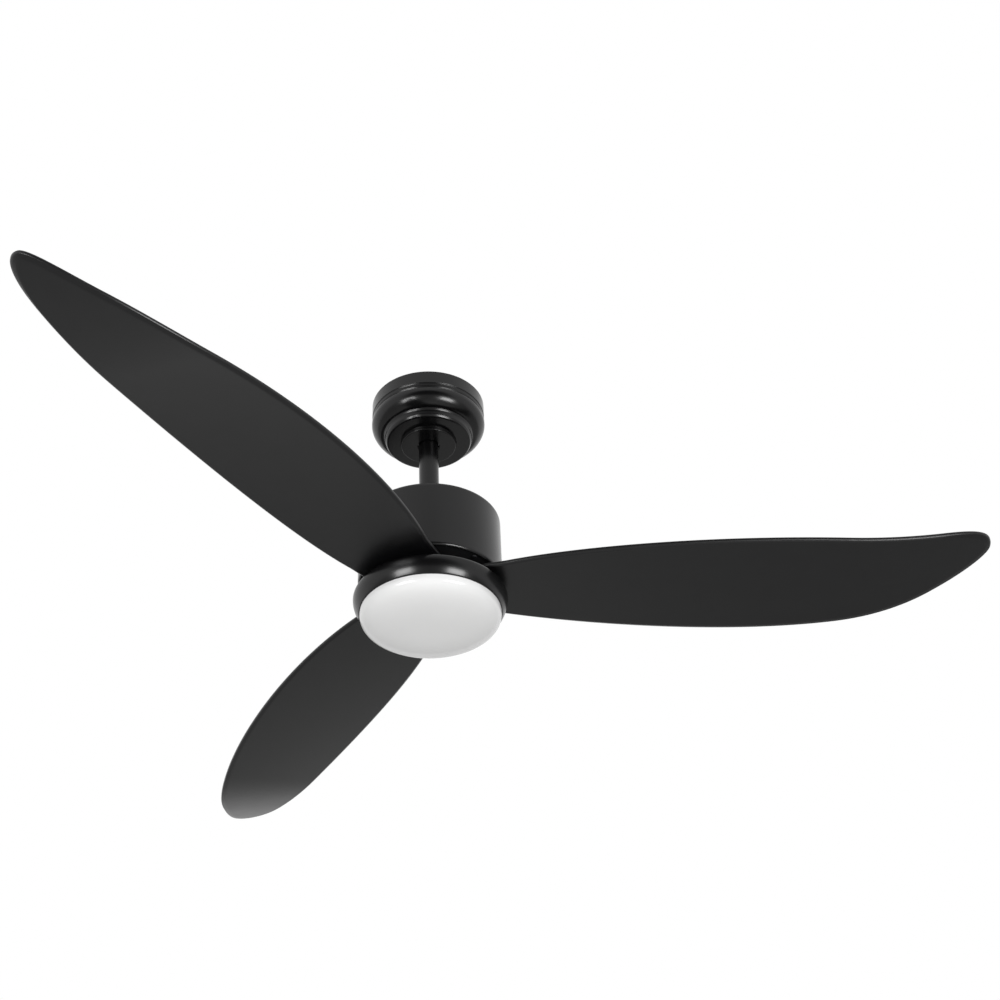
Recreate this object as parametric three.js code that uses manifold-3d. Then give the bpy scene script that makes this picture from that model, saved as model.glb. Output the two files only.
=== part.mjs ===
// Three-blade ceiling fan with a short downrod and a round opal light under the motor.
// Millimetres, +Z up. The ceiling is the plane z = 0 and the fan turns about the Z axis.
import * as THREE from 'three';
import { mergeVertices } from 'three/addons/utils/BufferGeometryUtils.js';
import Module from 'manifold-3d';

// ---------------------------------------------------------------- driving sizes

// Fits
const SEAT_GAP = 0.3;              // air between pieces that rest on or in each other
const SCREW_HOLE_PLAY = 0.4;       // hole radius minus screw radius
const RUNNING_GAP = 3.5;           // air between the housing's mouth and the blades
const LIGHT_GAP = 4.9;             // air between the blades and the light ring

// Canopy
const CANOPY_RADIUS = 70.4;
const CANOPY_BAND = 13;            // height of the plain band under the ceiling
const CANOPY_BULGE = 0.9;          // how far the bulge stands proud of the band
const CANOPY_DEPTH = 57.6;
const CANOPY_STEP_RADIUS = 56;     // top of the tapered ring that carries the flat floor
const CANOPY_STEP_HEIGHT = 11.6;
const CANOPY_STEP_TAPER = 4.5;
const CANOPY_WALL = 1.2;

// Cover disc under the canopy
const COVER_DISC_RADIUS = 35.2;
const COVER_DISC_HEIGHT = 5.4;
const COVER_DISC_TAPER = 1.3;

// Hanger
const BRACKET_LENGTH = 104;
const BRACKET_WIDTH = 44;
const BRACKET_SHEET = 2.2;
const BRACKET_LEG_REACH = 33;      // inner face of each leg
const SEAT_HEIGHT = 13;
const BALL_DROP = 32;              // ceiling to the centre of the ball
const BALL_RADIUS = 24;
const BALL_TOP_CUT = 8;
const BALL_BOTTOM_CUT = 17;
const SWING_PLAY = 1.25;           // extra radius for the rod where it passes still parts
const RECEIVER_SIZE = new THREE.Vector3(58, 80, 12.5);

// Downrod and its coupling
const ROD_RADIUS = 12.25;
const ROD_WALL = 1.75;
const ROD_LENGTH = 162.7;
const ROD_ABOVE_BALL = 4;          // rod end above the ball's top flat
const PIN_RADIUS = 3.5;
const BALL_PIN_LENGTH = 40;
const BALL_PIN_RISE = 3;           // pin axis above the ball's centre
const YOKE_RADIUS = 18;
const YOKE_FLOOR = 3.7;
const YOKE_FLANGE_RADIUS = 32;
const YOKE_FLANGE = 3;
const YOKE_GRIP = 24.7;            // length of rod held in the yoke
const YOKE_PIN_RISE = 14.7;        // pin axis above the rod's lower end
const YOKE_PIN_LENGTH = 50;
const SET_SCREW_RISE = 7;          // screw axis above the rod's lower end
const COUPLING_COVER_RADIUS = 45;
const COUPLING_COVER_HEIGHT = 46.7;

// Motor housing
const HOUSING_RADIUS = 85.6;
const HOUSING_HEIGHT = 89.5;
const HOUSING_WALL = 1.2;
const HOUSING_EDGE = 4;            // rounding of the top edge
const HOUSING_LIP = 3;             // height of the rolled lower lip

// Motor
const SHAFT_RADIUS = 8.5;
const SHAFT_BORE = 5;
const SHAFT_FLANGE = 4;
const SHAFT_CORE_RADIUS = 12;      // thicker stretch that carries the stator
const SHAFT_END_RADIUS = 7;
const SHAFT_END_LENGTH = 9.4;
const BEARING_RADIUS = 17;
const BEARING_HEIGHT = 9;
const BEARING_LIP_RADIUS = 12;
const BEARING_SEAT_WALL = 3;
const STATOR_STACK = 42;
const STATOR_TOOTH_LENGTH = 29;     // from the slot's floor to the tooth's face
const STATOR_TEETH = 12;
const WINDING_OVERHANG = 8;
const MAGNET_GAP = 0.8;
const MAGNET_THICKNESS = 3.7;
const MAGNET_OVERHANG = 2;
const ROTOR_WALL = 2.7;
const ROTOR_PLATE = 3;
const ROTOR_CLEARANCE = 1.6;       // air between the rotor's rim and the housing's lip
const ROTOR_FLANGE = 11.5;
const ROTOR_TOP_CLEARANCE = 3;
const ROTOR_SCREW_INSET = 4;       // from the rotor's rim
const ROTOR_SCREW_ANGLE = -47.3;   // from the blade ahead of it
const BOSS_HEIGHT = 3.5;
const BOSS_LENGTH = 38;
const BOSS_HALF_WIDTH = 36;
const GASKET_THICKNESS = 1.4;

// Blades, in each blade's own frame: +X runs out along the blade
const BLADE_COUNT = 3;
const PARKED_ANGLE = -0.7;         // where the first blade stands at rest
const SWEEP_RADIUS = 660;
const BLADE_TONGUE_WIDTH = 92;
const BLADE_ROOT_WIDTH = 105;
const BLADE_WIDTH = 150;
const BLADE_THICKNESS = 5;
const BLADE_PITCH = 15.4;          // degrees at the tip
const BLADE_DROOP = 29;
const BLADE_TIP_CURL = 30;
const BLADE_CURL_START = 0.7;      // share of the span
const BLADE_TOP_ROUND = 1;
const BLADE_EDGE_HEIGHT = 1.3;
const BLADE_LEADING_BEVEL = 2.5;
const BLADE_ROOT_BEVEL = 3;
const BLADE_TIP_BEVEL = 6.5;
const BLADE_SCREW_SPREAD = 28;     // from the middle line to each inner screw
const BLADE_SCREW_INSETS = [29, 9]; // inner pair and outer screw, from the rotor's rim

// Light
const RING_OVERHANG = 5.4;         // how far the ring stands proud of the housing
const RING_TOP_INSET = 10.9;       // from the ring's widest radius
const RING_BOTTOM_INSET = 6.7;
const RING_WIDEST_DROP = 7.5;
const RING_HEIGHT = 26.1;
const RING_WALL = 1.8;
const RING_ROOF = 1.2;
const RING_LEDGE_DROP = 16;
const RING_LEDGE_WIDTH = 13.3;
const RING_LEDGE = 1.2;
const RING_LIP = 2.8;
const LIGHT_PLATE_INSET = 4;       // from the inner ends of the blades
const LIGHT_PLATE = 2.2;
const NUT_RADIUS = 13.5;
const NUT_HEIGHT = 6;
const BOARD_OVERLAP = 6;           // how far the board reaches under the ledge
const BOARD_THICKNESS = 1.6;
const DRIVER_SIZE = new THREE.Vector3(70, 32, 13);
const DRIVER_INSET = 23;            // its middle line from the ring's ledge
const DIFFUSER_INSET = 1.3;        // from the ring's lower edge
const DIFFUSER_DEPTH = 21.7;
const DIFFUSER_WALL = 1.8;
const DIFFUSER_SQUARENESS = 2.8;   // 2 is an ellipse, higher is flatter with rounder shoulders
const DIFFUSER_COLLAR = 5.1;

// Screws
const SCREW = { shank: 2, head: 4, height: 2 };
const BLADE_SCREW = { shank: 2.1, head: 4.6, height: 1.8 };
const ROTOR_SCREW = { shank: 1.6, head: 3.2, height: 2.2 };
const BOARD_SCREW = { shank: 1, head: 2, height: 1 };

// Facets round a full turn
const FINE = 36;
const MEDIUM = 24;
const COARSE = 16;
const SCREW_FACETS = 6;

// ---------------------------------------------------------------- heights that follow

const ballZ = -BALL_DROP;
const ballTop = ballZ + BALL_TOP_CUT;
const seatBottom = ballZ - BALL_BOTTOM_CUT - 1;
const seatTop = seatBottom + SEAT_HEIGHT;
const seatRadius = BRACKET_LEG_REACH + 1;
const canopyFloor = -CANOPY_DEPTH;
const canopyScrewReach = BRACKET_LEG_REACH - 4.5;
const coverDiscTop = canopyFloor - SEAT_GAP;
const rodTop = ballTop + ROD_ABOVE_BALL;
const rodBottom = rodTop - ROD_LENGTH;
const ballPinZ = ballZ + BALL_PIN_RISE;
const yokeFloorTop = rodBottom - SEAT_GAP;
const yokeBottom = yokeFloorTop - YOKE_FLOOR;
const yokePinZ = rodBottom + YOKE_PIN_RISE;
const clipReach = YOKE_RADIUS + 3;
const housingTop = yokeBottom - SEAT_GAP;
const housingBottom = housingTop - HOUSING_HEIGHT;
const shaftTop = housingTop - HOUSING_WALL - SEAT_GAP;
const shaftNeck = shaftTop - SHAFT_FLANGE;
const rotorTop = shaftNeck - ROTOR_TOP_CLEARANCE;
const upperBearingTop = rotorTop - ROTOR_PLATE - SEAT_GAP;
const upperBearingBottom = upperBearingTop - BEARING_HEIGHT;
const bladeTop = housingBottom - RUNNING_GAP;
const bladeBottom = bladeTop - BLADE_THICKNESS;
const gasketTop = bladeTop + SEAT_GAP + GASKET_THICKNESS;
const rotorBottom = gasketTop + SEAT_GAP + BOSS_HEIGHT;
const rotorFlangeBottom = rotorBottom + ROTOR_PLATE + SEAT_GAP;
const lowerBearingBottom = rotorBottom + ROTOR_PLATE + SEAT_GAP;
const lowerBearingTop = lowerBearingBottom + BEARING_HEIGHT;
const stackMiddle = (upperBearingBottom + lowerBearingTop) / 2;
const housingScrewReach = YOKE_FLANGE_RADIUS - 7;
const rotorRadius = HOUSING_RADIUS - HOUSING_LIP - ROTOR_CLEARANCE;
const rotorBell = rotorRadius - ROTOR_FLANGE;
const rotorInner = rotorBell - ROTOR_WALL;
const magnetOuter = rotorInner - SEAT_GAP;
const magnetInner = magnetOuter - MAGNET_THICKNESS;
const statorRadius = magnetInner - MAGNET_GAP;
const bossInner = rotorRadius - BOSS_LENGTH;
const tongueStart = bossInner - 3;
const bladeFlatEnd = rotorRadius - 5;  // the root is flat up to here
const bladeRoot = HOUSING_RADIUS + 2.4; // where the blade comes out from under the housing
const bearingSeatInner = BEARING_RADIUS + SEAT_GAP;
const bearingSeatOuter = bearingSeatInner + BEARING_SEAT_WALL;
const ringRadius = HOUSING_RADIUS + RING_OVERHANG;
const ringTopRadius = ringRadius - RING_TOP_INSET;
const ringBottomRadius = ringRadius - RING_BOTTOM_INSET;
const ledgeRadius = ringBottomRadius - RING_LEDGE_WIDTH;
const boardRadius = ledgeRadius + BOARD_OVERLAP;
const boardScrewReach = ledgeRadius + BOARD_OVERLAP / 2;
const diffuserRadius = ringBottomRadius - DIFFUSER_INSET;
const lightPlateRadius = tongueStart - LIGHT_PLATE_INSET;
const lightScrewReach = lightPlateRadius - 8;
const ringTop = bladeBottom - LIGHT_GAP;
const ringBottom = ringTop - RING_HEIGHT;
const lightPlateBottom = ringTop + SEAT_GAP;
const lightPlateTop = lightPlateBottom + LIGHT_PLATE;
const shaftShoulder = lightPlateTop + SEAT_GAP;
const ringRoofBottom = ringTop - RING_ROOF;
const ledgeTop = ringTop - RING_LEDGE_DROP;
const boardTop = ledgeTop - RING_LEDGE - SEAT_GAP;
const ringLipRadius = ringBottomRadius - RING_WALL - SEAT_GAP;
const diffuserTop = ringBottom - SEAT_GAP;
const rodPassage = ROD_RADIUS + SWING_PLAY + SEAT_GAP;

// ---------------------------------------------------------------- tools

const wasm = await Module();
wasm.setup();

const point = (x, y) => new THREE.Vector2(x, y);
const radians = THREE.MathUtils.degToRad;

/** Turns a closed three.js geometry into a manifold solid. */
function solidOf(geometry) {
  const bare = geometry.clone();
  bare.deleteAttribute('normal');
  bare.deleteAttribute('uv');
  const merged = mergeVertices(bare, 1e-4);
  const index = merged.index.array;
  const triangles = [];
  for (let i = 0; i < index.length; i += 3) {
    const [a, b, c] = [index[i], index[i + 1], index[i + 2]];
    if (a !== b && b !== c && c !== a) {
      triangles.push(a, b, c);
    }
  }
  return new wasm.Manifold(new wasm.Mesh({
    numProp: 3,
    vertProperties: new Float32Array(merged.attributes.position.array),
    triVerts: new Uint32Array(triangles),
  }));
}

/** Turns a manifold solid back into a three.js geometry. */
function geometryOf(solid) {
  const mesh = solid.getMesh();
  const geometry = new THREE.BufferGeometry();
  geometry.setAttribute('position', new THREE.BufferAttribute(mesh.vertProperties, 3));
  geometry.setIndex(new THREE.BufferAttribute(mesh.triVerts, 1));
  geometry.computeVertexNormals();
  return geometry;
}

/** Joins the added geometries to the first one, then cuts the others out of it. */
function shape(base, { add = [], cut = [] }) {
  let solid = solidOf(base);
  for (const piece of add) {
    solid = solid.add(solidOf(piece));
  }
  for (const piece of cut) {
    solid = solid.subtract(solidOf(piece));
  }
  return geometryOf(solid);
}

/** Revolves a profile of (radius, height) points about Z. It closes itself off the axis. */
function revolve(profile, facets) {
  const points = [...profile];
  if (points[0].x > 0) {
    points.push(points[0].clone());
  }
  if (THREE.ShapeUtils.area(points) < 0) {
    points.reverse();
  }
  return new THREE.LatheGeometry(points, facets).rotateX(Math.PI / 2);
}

/** A straight tube or, with no bore, a disc, between two heights. */
function tube(outer, inner, bottom, top, facets) {
  return revolve([point(inner, bottom), point(outer, bottom), point(outer, top), point(inner, top)], facets);
}

/** A round bar along Z between two heights, set at (x, y). */
function bar(radius, bottom, top, x = 0, y = 0, facets = SCREW_FACETS) {
  const height = top - bottom;
  const geometry = new THREE.CylinderGeometry(radius, radius, height, facets);
  return geometry.rotateX(Math.PI / 2).translate(x, y, bottom + height / 2);
}

/** A round bar along X, centred on the axis at a height. */
function crossBar(radius, length, z, facets = SCREW_FACETS) {
  return new THREE.CylinderGeometry(radius, radius, length, facets).rotateZ(Math.PI / 2).translate(0, 0, z);
}

/** A box given by its centre in X and Y and its bottom and top. */
function block(width, depth, bottom, top, x = 0, y = 0) {
  return new THREE.BoxGeometry(width, depth, top - bottom).translate(x, y, (top + bottom) / 2);
}

/** Extrudes an outline upward from one height to another. */
function plate(outline, bottom, top, curveSegments = 3) {
  const settings = { depth: top - bottom, bevelEnabled: false, curveSegments };
  return new THREE.ExtrudeGeometry(outline, settings).translate(0, 0, bottom);
}

/** Places along a circle, as (x, y) pairs. */
function around(count, radius, startDegrees) {
  const places = [];
  for (let i = 0; i < count; i += 1) {
    const angle = radians(startDegrees + (360 * i) / count);
    places.push([radius * Math.cos(angle), radius * Math.sin(angle)]);
  }
  return places;
}

/** A pan-head screw with its head's seat at z = 0 and its shank upward. */
function screw(size, length) {
  return revolve([
    point(0, -size.height),
    point(size.head * 0.75, -size.height),
    point(size.head, 0),
    point(size.shank, 0),
    point(size.shank, length),
    point(0, length),
  ], SCREW_FACETS);
}

// ---------------------------------------------------------------- finishes

const finish = (color, roughness, metalness = 0) =>
  new THREE.MeshStandardMaterial({ color, roughness, metalness });

const FINISHES = {
  darkPaint: () => finish(0x2b2c2e, 0.38, 0.25),
  bladePlastic: () => finish(0x2e2f31, 0.5),
  opal: () => finish(0xe4e3df, 0.22),
  steel: () => finish(0x8d9095, 0.38, 0.9),
  zinc: () => finish(0xb0b2b4, 0.45, 0.85),
  blackScrew: () => finish(0x1d1e20, 0.4, 0.7),
  laminations: () => finish(0x5f6368, 0.55, 0.8),
  copper: () => finish(0xb4703a, 0.35, 0.9),
  magnet: () => finish(0x3a3a3c, 0.7, 0.2),
  castMetal: () => finish(0x9b9da0, 0.5, 0.75),
  rubber: () => finish(0x161617, 0.85),
  ballPlastic: () => finish(0x232426, 0.55),
  receiverPlastic: () => finish(0xe8e6e0, 0.5),
  board: () => finish(0xf0efe9, 0.45),
  driverCase: () => finish(0xd9d9d6, 0.5),
};

const fan = new THREE.Group();

/** Adds one named sub-part to a group. */
function place(group, name, geometry, finishName) {
  const mesh = new THREE.Mesh(geometry, FINISHES[finishName]());
  mesh.name = name;
  group.add(mesh);
  return mesh;
}

/** Adds numbered screws, heads down, with their seats at one height. */
function placeScrews(group, prefix, places, z, size, length, finishName) {
  places.forEach(([x, y], i) => {
    const mesh = place(group, `${prefix}_${i + 1}`, screw(size, length), finishName);
    mesh.position.set(x, y, z);
  });
}

// ---------------------------------------------------------------- canopy and hanger

/** Canopy: plain band, two fine beads, a bulge, an ogee and a step ring round a flat floor. */
function canopy() {
  const bead = 0.7;
  const groove = 0.5;
  const beadPitch = 3;
  const bulge = CANOPY_RADIUS + CANOPY_BULGE;
  const stepTop = canopyFloor + CANOPY_STEP_HEIGHT;
  const band = -CANOPY_BAND;
  const bulgeTop = band - 2 * beadPitch;
  const stepBottom = CANOPY_STEP_RADIUS - CANOPY_STEP_TAPER;
  const floorEdge = stepBottom - 1;
  const outside = new THREE.Path();
  outside.moveTo(CANOPY_RADIUS, -SEAT_GAP);
  outside.lineTo(CANOPY_RADIUS, band);
  for (const top of [band, band - beadPitch]) {
    outside.lineTo(CANOPY_RADIUS - groove, top - 0.6);
    outside.lineTo(CANOPY_RADIUS + bead, top - beadPitch / 2);
  }
  outside.lineTo(bulge, bulgeTop);
  outside.bezierCurveTo(bulge, bulgeTop - 9, bulge - 6, stepTop + 9, CANOPY_STEP_RADIUS + 4.5, stepTop + 2);
  outside.quadraticCurveTo(CANOPY_STEP_RADIUS + 2.5, stepTop + 0.4, CANOPY_STEP_RADIUS + 1, stepTop);
  outside.lineTo(CANOPY_STEP_RADIUS, stepTop - 1);
  outside.lineTo(stepBottom, canopyFloor + 0.8);
  outside.lineTo(floorEdge, canopyFloor);
  outside.lineTo(rodPassage + SEAT_GAP, canopyFloor);
  const inside = new THREE.Path();
  const innerBulge = CANOPY_RADIUS - groove - CANOPY_WALL;
  inside.moveTo(rodPassage + SEAT_GAP, canopyFloor + CANOPY_WALL);
  inside.lineTo(floorEdge - 0.5, canopyFloor + CANOPY_WALL);
  inside.lineTo(CANOPY_STEP_RADIUS - CANOPY_WALL, stepTop - 0.4);
  inside.lineTo(CANOPY_STEP_RADIUS + 3, stepTop + 2.9);
  inside.quadraticCurveTo(innerBulge - 2.2, stepTop + 12, innerBulge, bulgeTop - 4);
  inside.lineTo(innerBulge, -SEAT_GAP);
  const screwHole = SCREW.shank + SCREW_HOLE_PLAY;
  const shell = revolve([...outside.getPoints(3), ...inside.getPoints(2)], FINE);
  return shape(shell, {
    cut: [-1, 1].map((side) => bar(screwHole, canopyFloor - 1, canopyFloor + 3, side * canopyScrewReach)),
  });
}

/** Cover disc: a shallow cup that hides the canopy's screws, with a sleeve round the rod. */
function coverDisc() {
  const bottom = coverDiscTop - COVER_DISC_HEIGHT;
  const rim = COVER_DISC_RADIUS - COVER_DISC_TAPER;
  const round = 1;
  const wall = 1.2;
  const profile = new THREE.Path();
  profile.moveTo(COVER_DISC_RADIUS, coverDiscTop);
  profile.lineTo(rim, bottom + round);
  profile.quadraticCurveTo(rim, bottom, rim - round, bottom);
  profile.lineTo(rodPassage, bottom);
  profile.lineTo(rodPassage, coverDiscTop - SEAT_GAP);
  profile.lineTo(rodPassage + wall, coverDiscTop - SEAT_GAP);
  profile.lineTo(rodPassage + wall, bottom + wall);
  profile.lineTo(rim - wall, bottom + wall);
  profile.lineTo(COVER_DISC_RADIUS - wall, coverDiscTop);
  return revolve(profile.getPoints(2), FINE);
}

/** Hanger bracket: a ceiling plate and two legs that carry an open seat for the ball. */
function hangerBracket() {
  const halfLength = BRACKET_LENGTH / 2;
  const halfWidth = BRACKET_WIDTH / 2;
  const outline = new THREE.Shape();
  outline.moveTo(-halfLength + halfWidth / 2, -halfWidth);
  outline.lineTo(halfLength - halfWidth / 2, -halfWidth);
  outline.quadraticCurveTo(halfLength, -halfWidth, halfLength, 0);
  outline.quadraticCurveTo(halfLength, halfWidth, halfLength - halfWidth / 2, halfWidth);
  outline.lineTo(-halfLength + halfWidth / 2, halfWidth);
  outline.quadraticCurveTo(-halfLength, halfWidth, -halfLength, 0);
  outline.quadraticCurveTo(-halfLength, -halfWidth, -halfLength + halfWidth / 2, -halfWidth);
  const seat = revolve([
    point(0, seatBottom),
    point(seatRadius, seatBottom),
    point(seatRadius, seatTop),
    point(0, seatTop),
  ], MEDIUM);
  const add = [seat];
  const socket = new THREE.SphereGeometry(BALL_RADIUS + SEAT_GAP, MEDIUM, COARSE).rotateX(Math.PI / 2);
  const mouth = 2 * rodPassage;
  const cut = [
    socket.translate(0, 0, ballZ),
    block(mouth, seatRadius + 1, seatBottom - 1, seatTop + 1, 0, (seatRadius + 1) / 2),
    bar(rodPassage, seatBottom - 1, seatTop, 0, 0, COARSE),
  ];
  const bossBottom = canopyFloor + CANOPY_WALL + SEAT_GAP;
  const bossRadius = 5;
  const slot = { length: 9, width: 4.6, reach: BRACKET_LEG_REACH + 10 };
  const wireHole = { radius: 6, reach: 18 };
  const screwHole = SCREW.shank + SCREW_HOLE_PLAY;
  for (const side of [-1, 1]) {
    const legX = side * (BRACKET_LEG_REACH + BRACKET_SHEET / 2);
    add.push(block(BRACKET_SHEET, BRACKET_WIDTH - 14, seatBottom, -BRACKET_SHEET / 2, legX));
    add.push(bar(bossRadius, bossBottom, seatBottom + 1, side * canopyScrewReach, 0, COARSE));
    cut.push(bar(screwHole, bossBottom - 1, seatTop - 2, side * canopyScrewReach));
    cut.push(block(slot.length, slot.width, -BRACKET_SHEET - 1, 1, side * slot.reach));
    cut.push(bar(wireHole.radius, -BRACKET_SHEET - 1, 1, side * wireHole.reach, 0, COARSE));
  }
  return shape(plate(outline, -BRACKET_SHEET, 0), { add, cut });
}

/** Hanger ball: a sphere cut flat above and below, bored for the rod and its pin. */
function hangerBall() {
  const arc = new THREE.Path();
  const topAngle = Math.asin(BALL_TOP_CUT / BALL_RADIUS);
  const bottomAngle = Math.asin(-BALL_BOTTOM_CUT / BALL_RADIUS);
  const bore = ROD_RADIUS + SEAT_GAP;
  arc.moveTo(bore, ballZ - BALL_BOTTOM_CUT);
  arc.absarc(0, ballZ, BALL_RADIUS, bottomAngle, topAngle, false);
  arc.lineTo(bore, ballTop);
  const ball = revolve(arc.getPoints(3), MEDIUM);
  return shape(ball, { cut: [crossBar(PIN_RADIUS + SEAT_GAP, 2 * BALL_RADIUS + 2, ballPinZ)] });
}

const mountGroup = new THREE.Group();
fan.add(mountGroup);
place(mountGroup, 'hanger_bracket', hangerBracket(), 'zinc');
place(mountGroup, 'canopy', canopy(), 'darkPaint');
place(mountGroup, 'canopy_cover_disc', coverDisc(), 'darkPaint');
placeScrews(
  mountGroup, 'canopy_screw', [[-canopyScrewReach, 0], [canopyScrewReach, 0]],
  canopyFloor - SEAT_GAP, SCREW, 11, 'zinc',
);
const receiverTop = -BRACKET_SHEET - SEAT_GAP;
place(
  mountGroup, 'receiver',
  block(RECEIVER_SIZE.x, RECEIVER_SIZE.y, receiverTop - RECEIVER_SIZE.z, receiverTop), 'receiverPlastic',
);

// ---------------------------------------------------------------- rod and coupling

/** Downrod: a tube with a cross hole near each end. */
function downrod() {
  const rod = tube(ROD_RADIUS, ROD_RADIUS - ROD_WALL, rodBottom, rodTop, MEDIUM);
  const hole = PIN_RADIUS + SEAT_GAP;
  return shape(rod, {
    cut: [ballPinZ, yokePinZ].map((z) => crossBar(hole, 4 * ROD_RADIUS, z)),
  });
}

/** Yoke: a cup that grips the rod, on a flange that is screwed down on the motor. */
function yoke() {
  const bore = ROD_RADIUS + SEAT_GAP;
  const wireHole = ROD_RADIUS - ROD_WALL - 3;
  const body = revolve([
    point(wireHole, yokeBottom),
    point(YOKE_FLANGE_RADIUS, yokeBottom),
    point(YOKE_FLANGE_RADIUS, yokeBottom + YOKE_FLANGE),
    point(YOKE_RADIUS + 2, yokeBottom + YOKE_FLANGE),
    point(YOKE_RADIUS, yokeBottom + YOKE_FLANGE + 3),
    point(YOKE_RADIUS, rodBottom + YOKE_GRIP - 1),
    point(YOKE_RADIUS - 1, rodBottom + YOKE_GRIP),
    point(bore, rodBottom + YOKE_GRIP),
    point(bore, yokeFloorTop),
    point(wireHole, yokeFloorTop),
  ], COARSE);
  const setScrewHole = new THREE.CylinderGeometry(2.8, 2.8, 10, SCREW_FACETS);
  const cut = [
    crossBar(PIN_RADIUS + SEAT_GAP, 3 * YOKE_RADIUS, yokePinZ),
    setScrewHole.translate(0, -YOKE_RADIUS + 1, rodBottom + SET_SCREW_RISE),
  ];
  for (const [x, y] of around(3, housingScrewReach, 90)) {
    cut.push(bar(SCREW.shank + SCREW_HOLE_PLAY, yokeBottom - 1, yokeBottom + YOKE_FLANGE + 1, x, y));
  }
  return shape(body, { cut });
}

/** Yoke pin: headed at one end and cross-drilled at the other for its clip. */
function yokePin() {
  const headHeight = 2.5;
  const head = crossBar(PIN_RADIUS + 2, headHeight, yokePinZ);
  return shape(crossBar(PIN_RADIUS, YOKE_PIN_LENGTH, yokePinZ), {
    add: [head.translate((headHeight - YOKE_PIN_LENGTH) / 2, 0, 0)],
    cut: [bar(1.2, yokePinZ - 6, yokePinZ + 6, clipReach)],
  });
}

/** R-clip: one straight leg through the pin and one bent leg that springs round its end. */
function yokeClip() {
  const legX = clipReach;
  const half = PIN_RADIUS + 5;
  const outer = YOKE_PIN_LENGTH / 2 + 1.5;
  const route = new THREE.CatmullRomCurve3([
    new THREE.Vector3(legX, 0, -half),
    new THREE.Vector3(legX, 0, 0),
    new THREE.Vector3(legX, 0, half),
    new THREE.Vector3((legX + outer) / 2, 0, half + 4),
    new THREE.Vector3(outer, 0, half),
    new THREE.Vector3(outer, 0, 0),
    new THREE.Vector3(outer + 1, 0, -half / 2),
  ]);
  const section = new THREE.Shape();
  section.absarc(0, 0, 0.85, 0, 2 * Math.PI, false);
  const wire = new THREE.ExtrudeGeometry(section, {
    extrudePath: route, steps: 18, curveSegments: 2, bevelEnabled: false,
  });
  return wire.translate(0, 0, yokePinZ);
}

/** Coupling cover: a thin bell over the yoke, open round the rod. */
function couplingCover() {
  const bottom = housingTop + SEAT_GAP;
  const top = bottom + COUPLING_COVER_HEIGHT;
  const neck = ROD_RADIUS + 0.8;
  const wall = 1.2;
  const bell = (offset) => {
    const path = new THREE.Path();
    path.moveTo(COUPLING_COVER_RADIUS - offset, bottom);
    path.bezierCurveTo(
      COUPLING_COVER_RADIUS - offset, bottom + COUPLING_COVER_HEIGHT * 0.5,
      COUPLING_COVER_RADIUS * 0.5 - offset, top - offset,
      neck, top - offset,
    );
    return path.getPoints(5);
  };
  return revolve([...bell(0), ...bell(wall).reverse()], MEDIUM);
}

const hangingGroup = new THREE.Group();
fan.add(hangingGroup);
place(hangingGroup, 'hanger_ball', hangerBall(), 'ballPlastic');
place(hangingGroup, 'ball_pin', crossBar(PIN_RADIUS, BALL_PIN_LENGTH, ballPinZ), 'steel');
place(hangingGroup, 'downrod', downrod(), 'darkPaint');
place(hangingGroup, 'yoke', yoke(), 'castMetal');
place(hangingGroup, 'yoke_pin', yokePin(), 'steel');
place(hangingGroup, 'yoke_clip', yokeClip(), 'steel');
const setScrew = place(hangingGroup, 'yoke_set_screw', screw({ shank: 2.5, head: 4, height: 2.4 }, 5.2), 'steel');
setScrew.rotation.x = -Math.PI / 2;
setScrew.position.set(0, -YOKE_RADIUS - SEAT_GAP, rodBottom + SET_SCREW_RISE);
place(hangingGroup, 'coupling_cover', couplingCover(), 'darkPaint');

// ---------------------------------------------------------------- housing and stator

/** Motor housing: a drum with a rounded top edge and a rolled lower lip. */
function motorHousing() {
  const inner = HOUSING_RADIUS - HOUSING_WALL;
  const roof = housingTop - HOUSING_WALL;
  const hole = SHAFT_RADIUS;
  const lipTop = housingBottom + HOUSING_LIP;
  const drum = new THREE.Path();
  drum.moveTo(hole, housingTop);
  drum.lineTo(HOUSING_RADIUS - HOUSING_EDGE, housingTop);
  drum.absarc(HOUSING_RADIUS - HOUSING_EDGE, housingTop - HOUSING_EDGE, HOUSING_EDGE, Math.PI / 2, 0, true);
  drum.lineTo(HOUSING_RADIUS, lipTop);
  drum.absarc(HOUSING_RADIUS - HOUSING_LIP / 2, lipTop - HOUSING_LIP / 2, HOUSING_LIP / 2, 0, -Math.PI, true);
  drum.lineTo(HOUSING_RADIUS - HOUSING_LIP, lipTop);
  drum.lineTo(inner, lipTop + HOUSING_LIP / 2);
  drum.lineTo(inner, roof - HOUSING_EDGE);
  drum.lineTo(inner - HOUSING_EDGE, roof);
  drum.lineTo(hole, roof);
  const shell = revolve(drum.getPoints(2), FINE);
  const screwHole = SCREW.shank + SCREW_HOLE_PLAY;
  return shape(shell, {
    cut: around(3, housingScrewReach, 90).map(([x, y]) => bar(screwHole, roof - 1, housingTop + 1, x, y)),
  });
}

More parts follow.
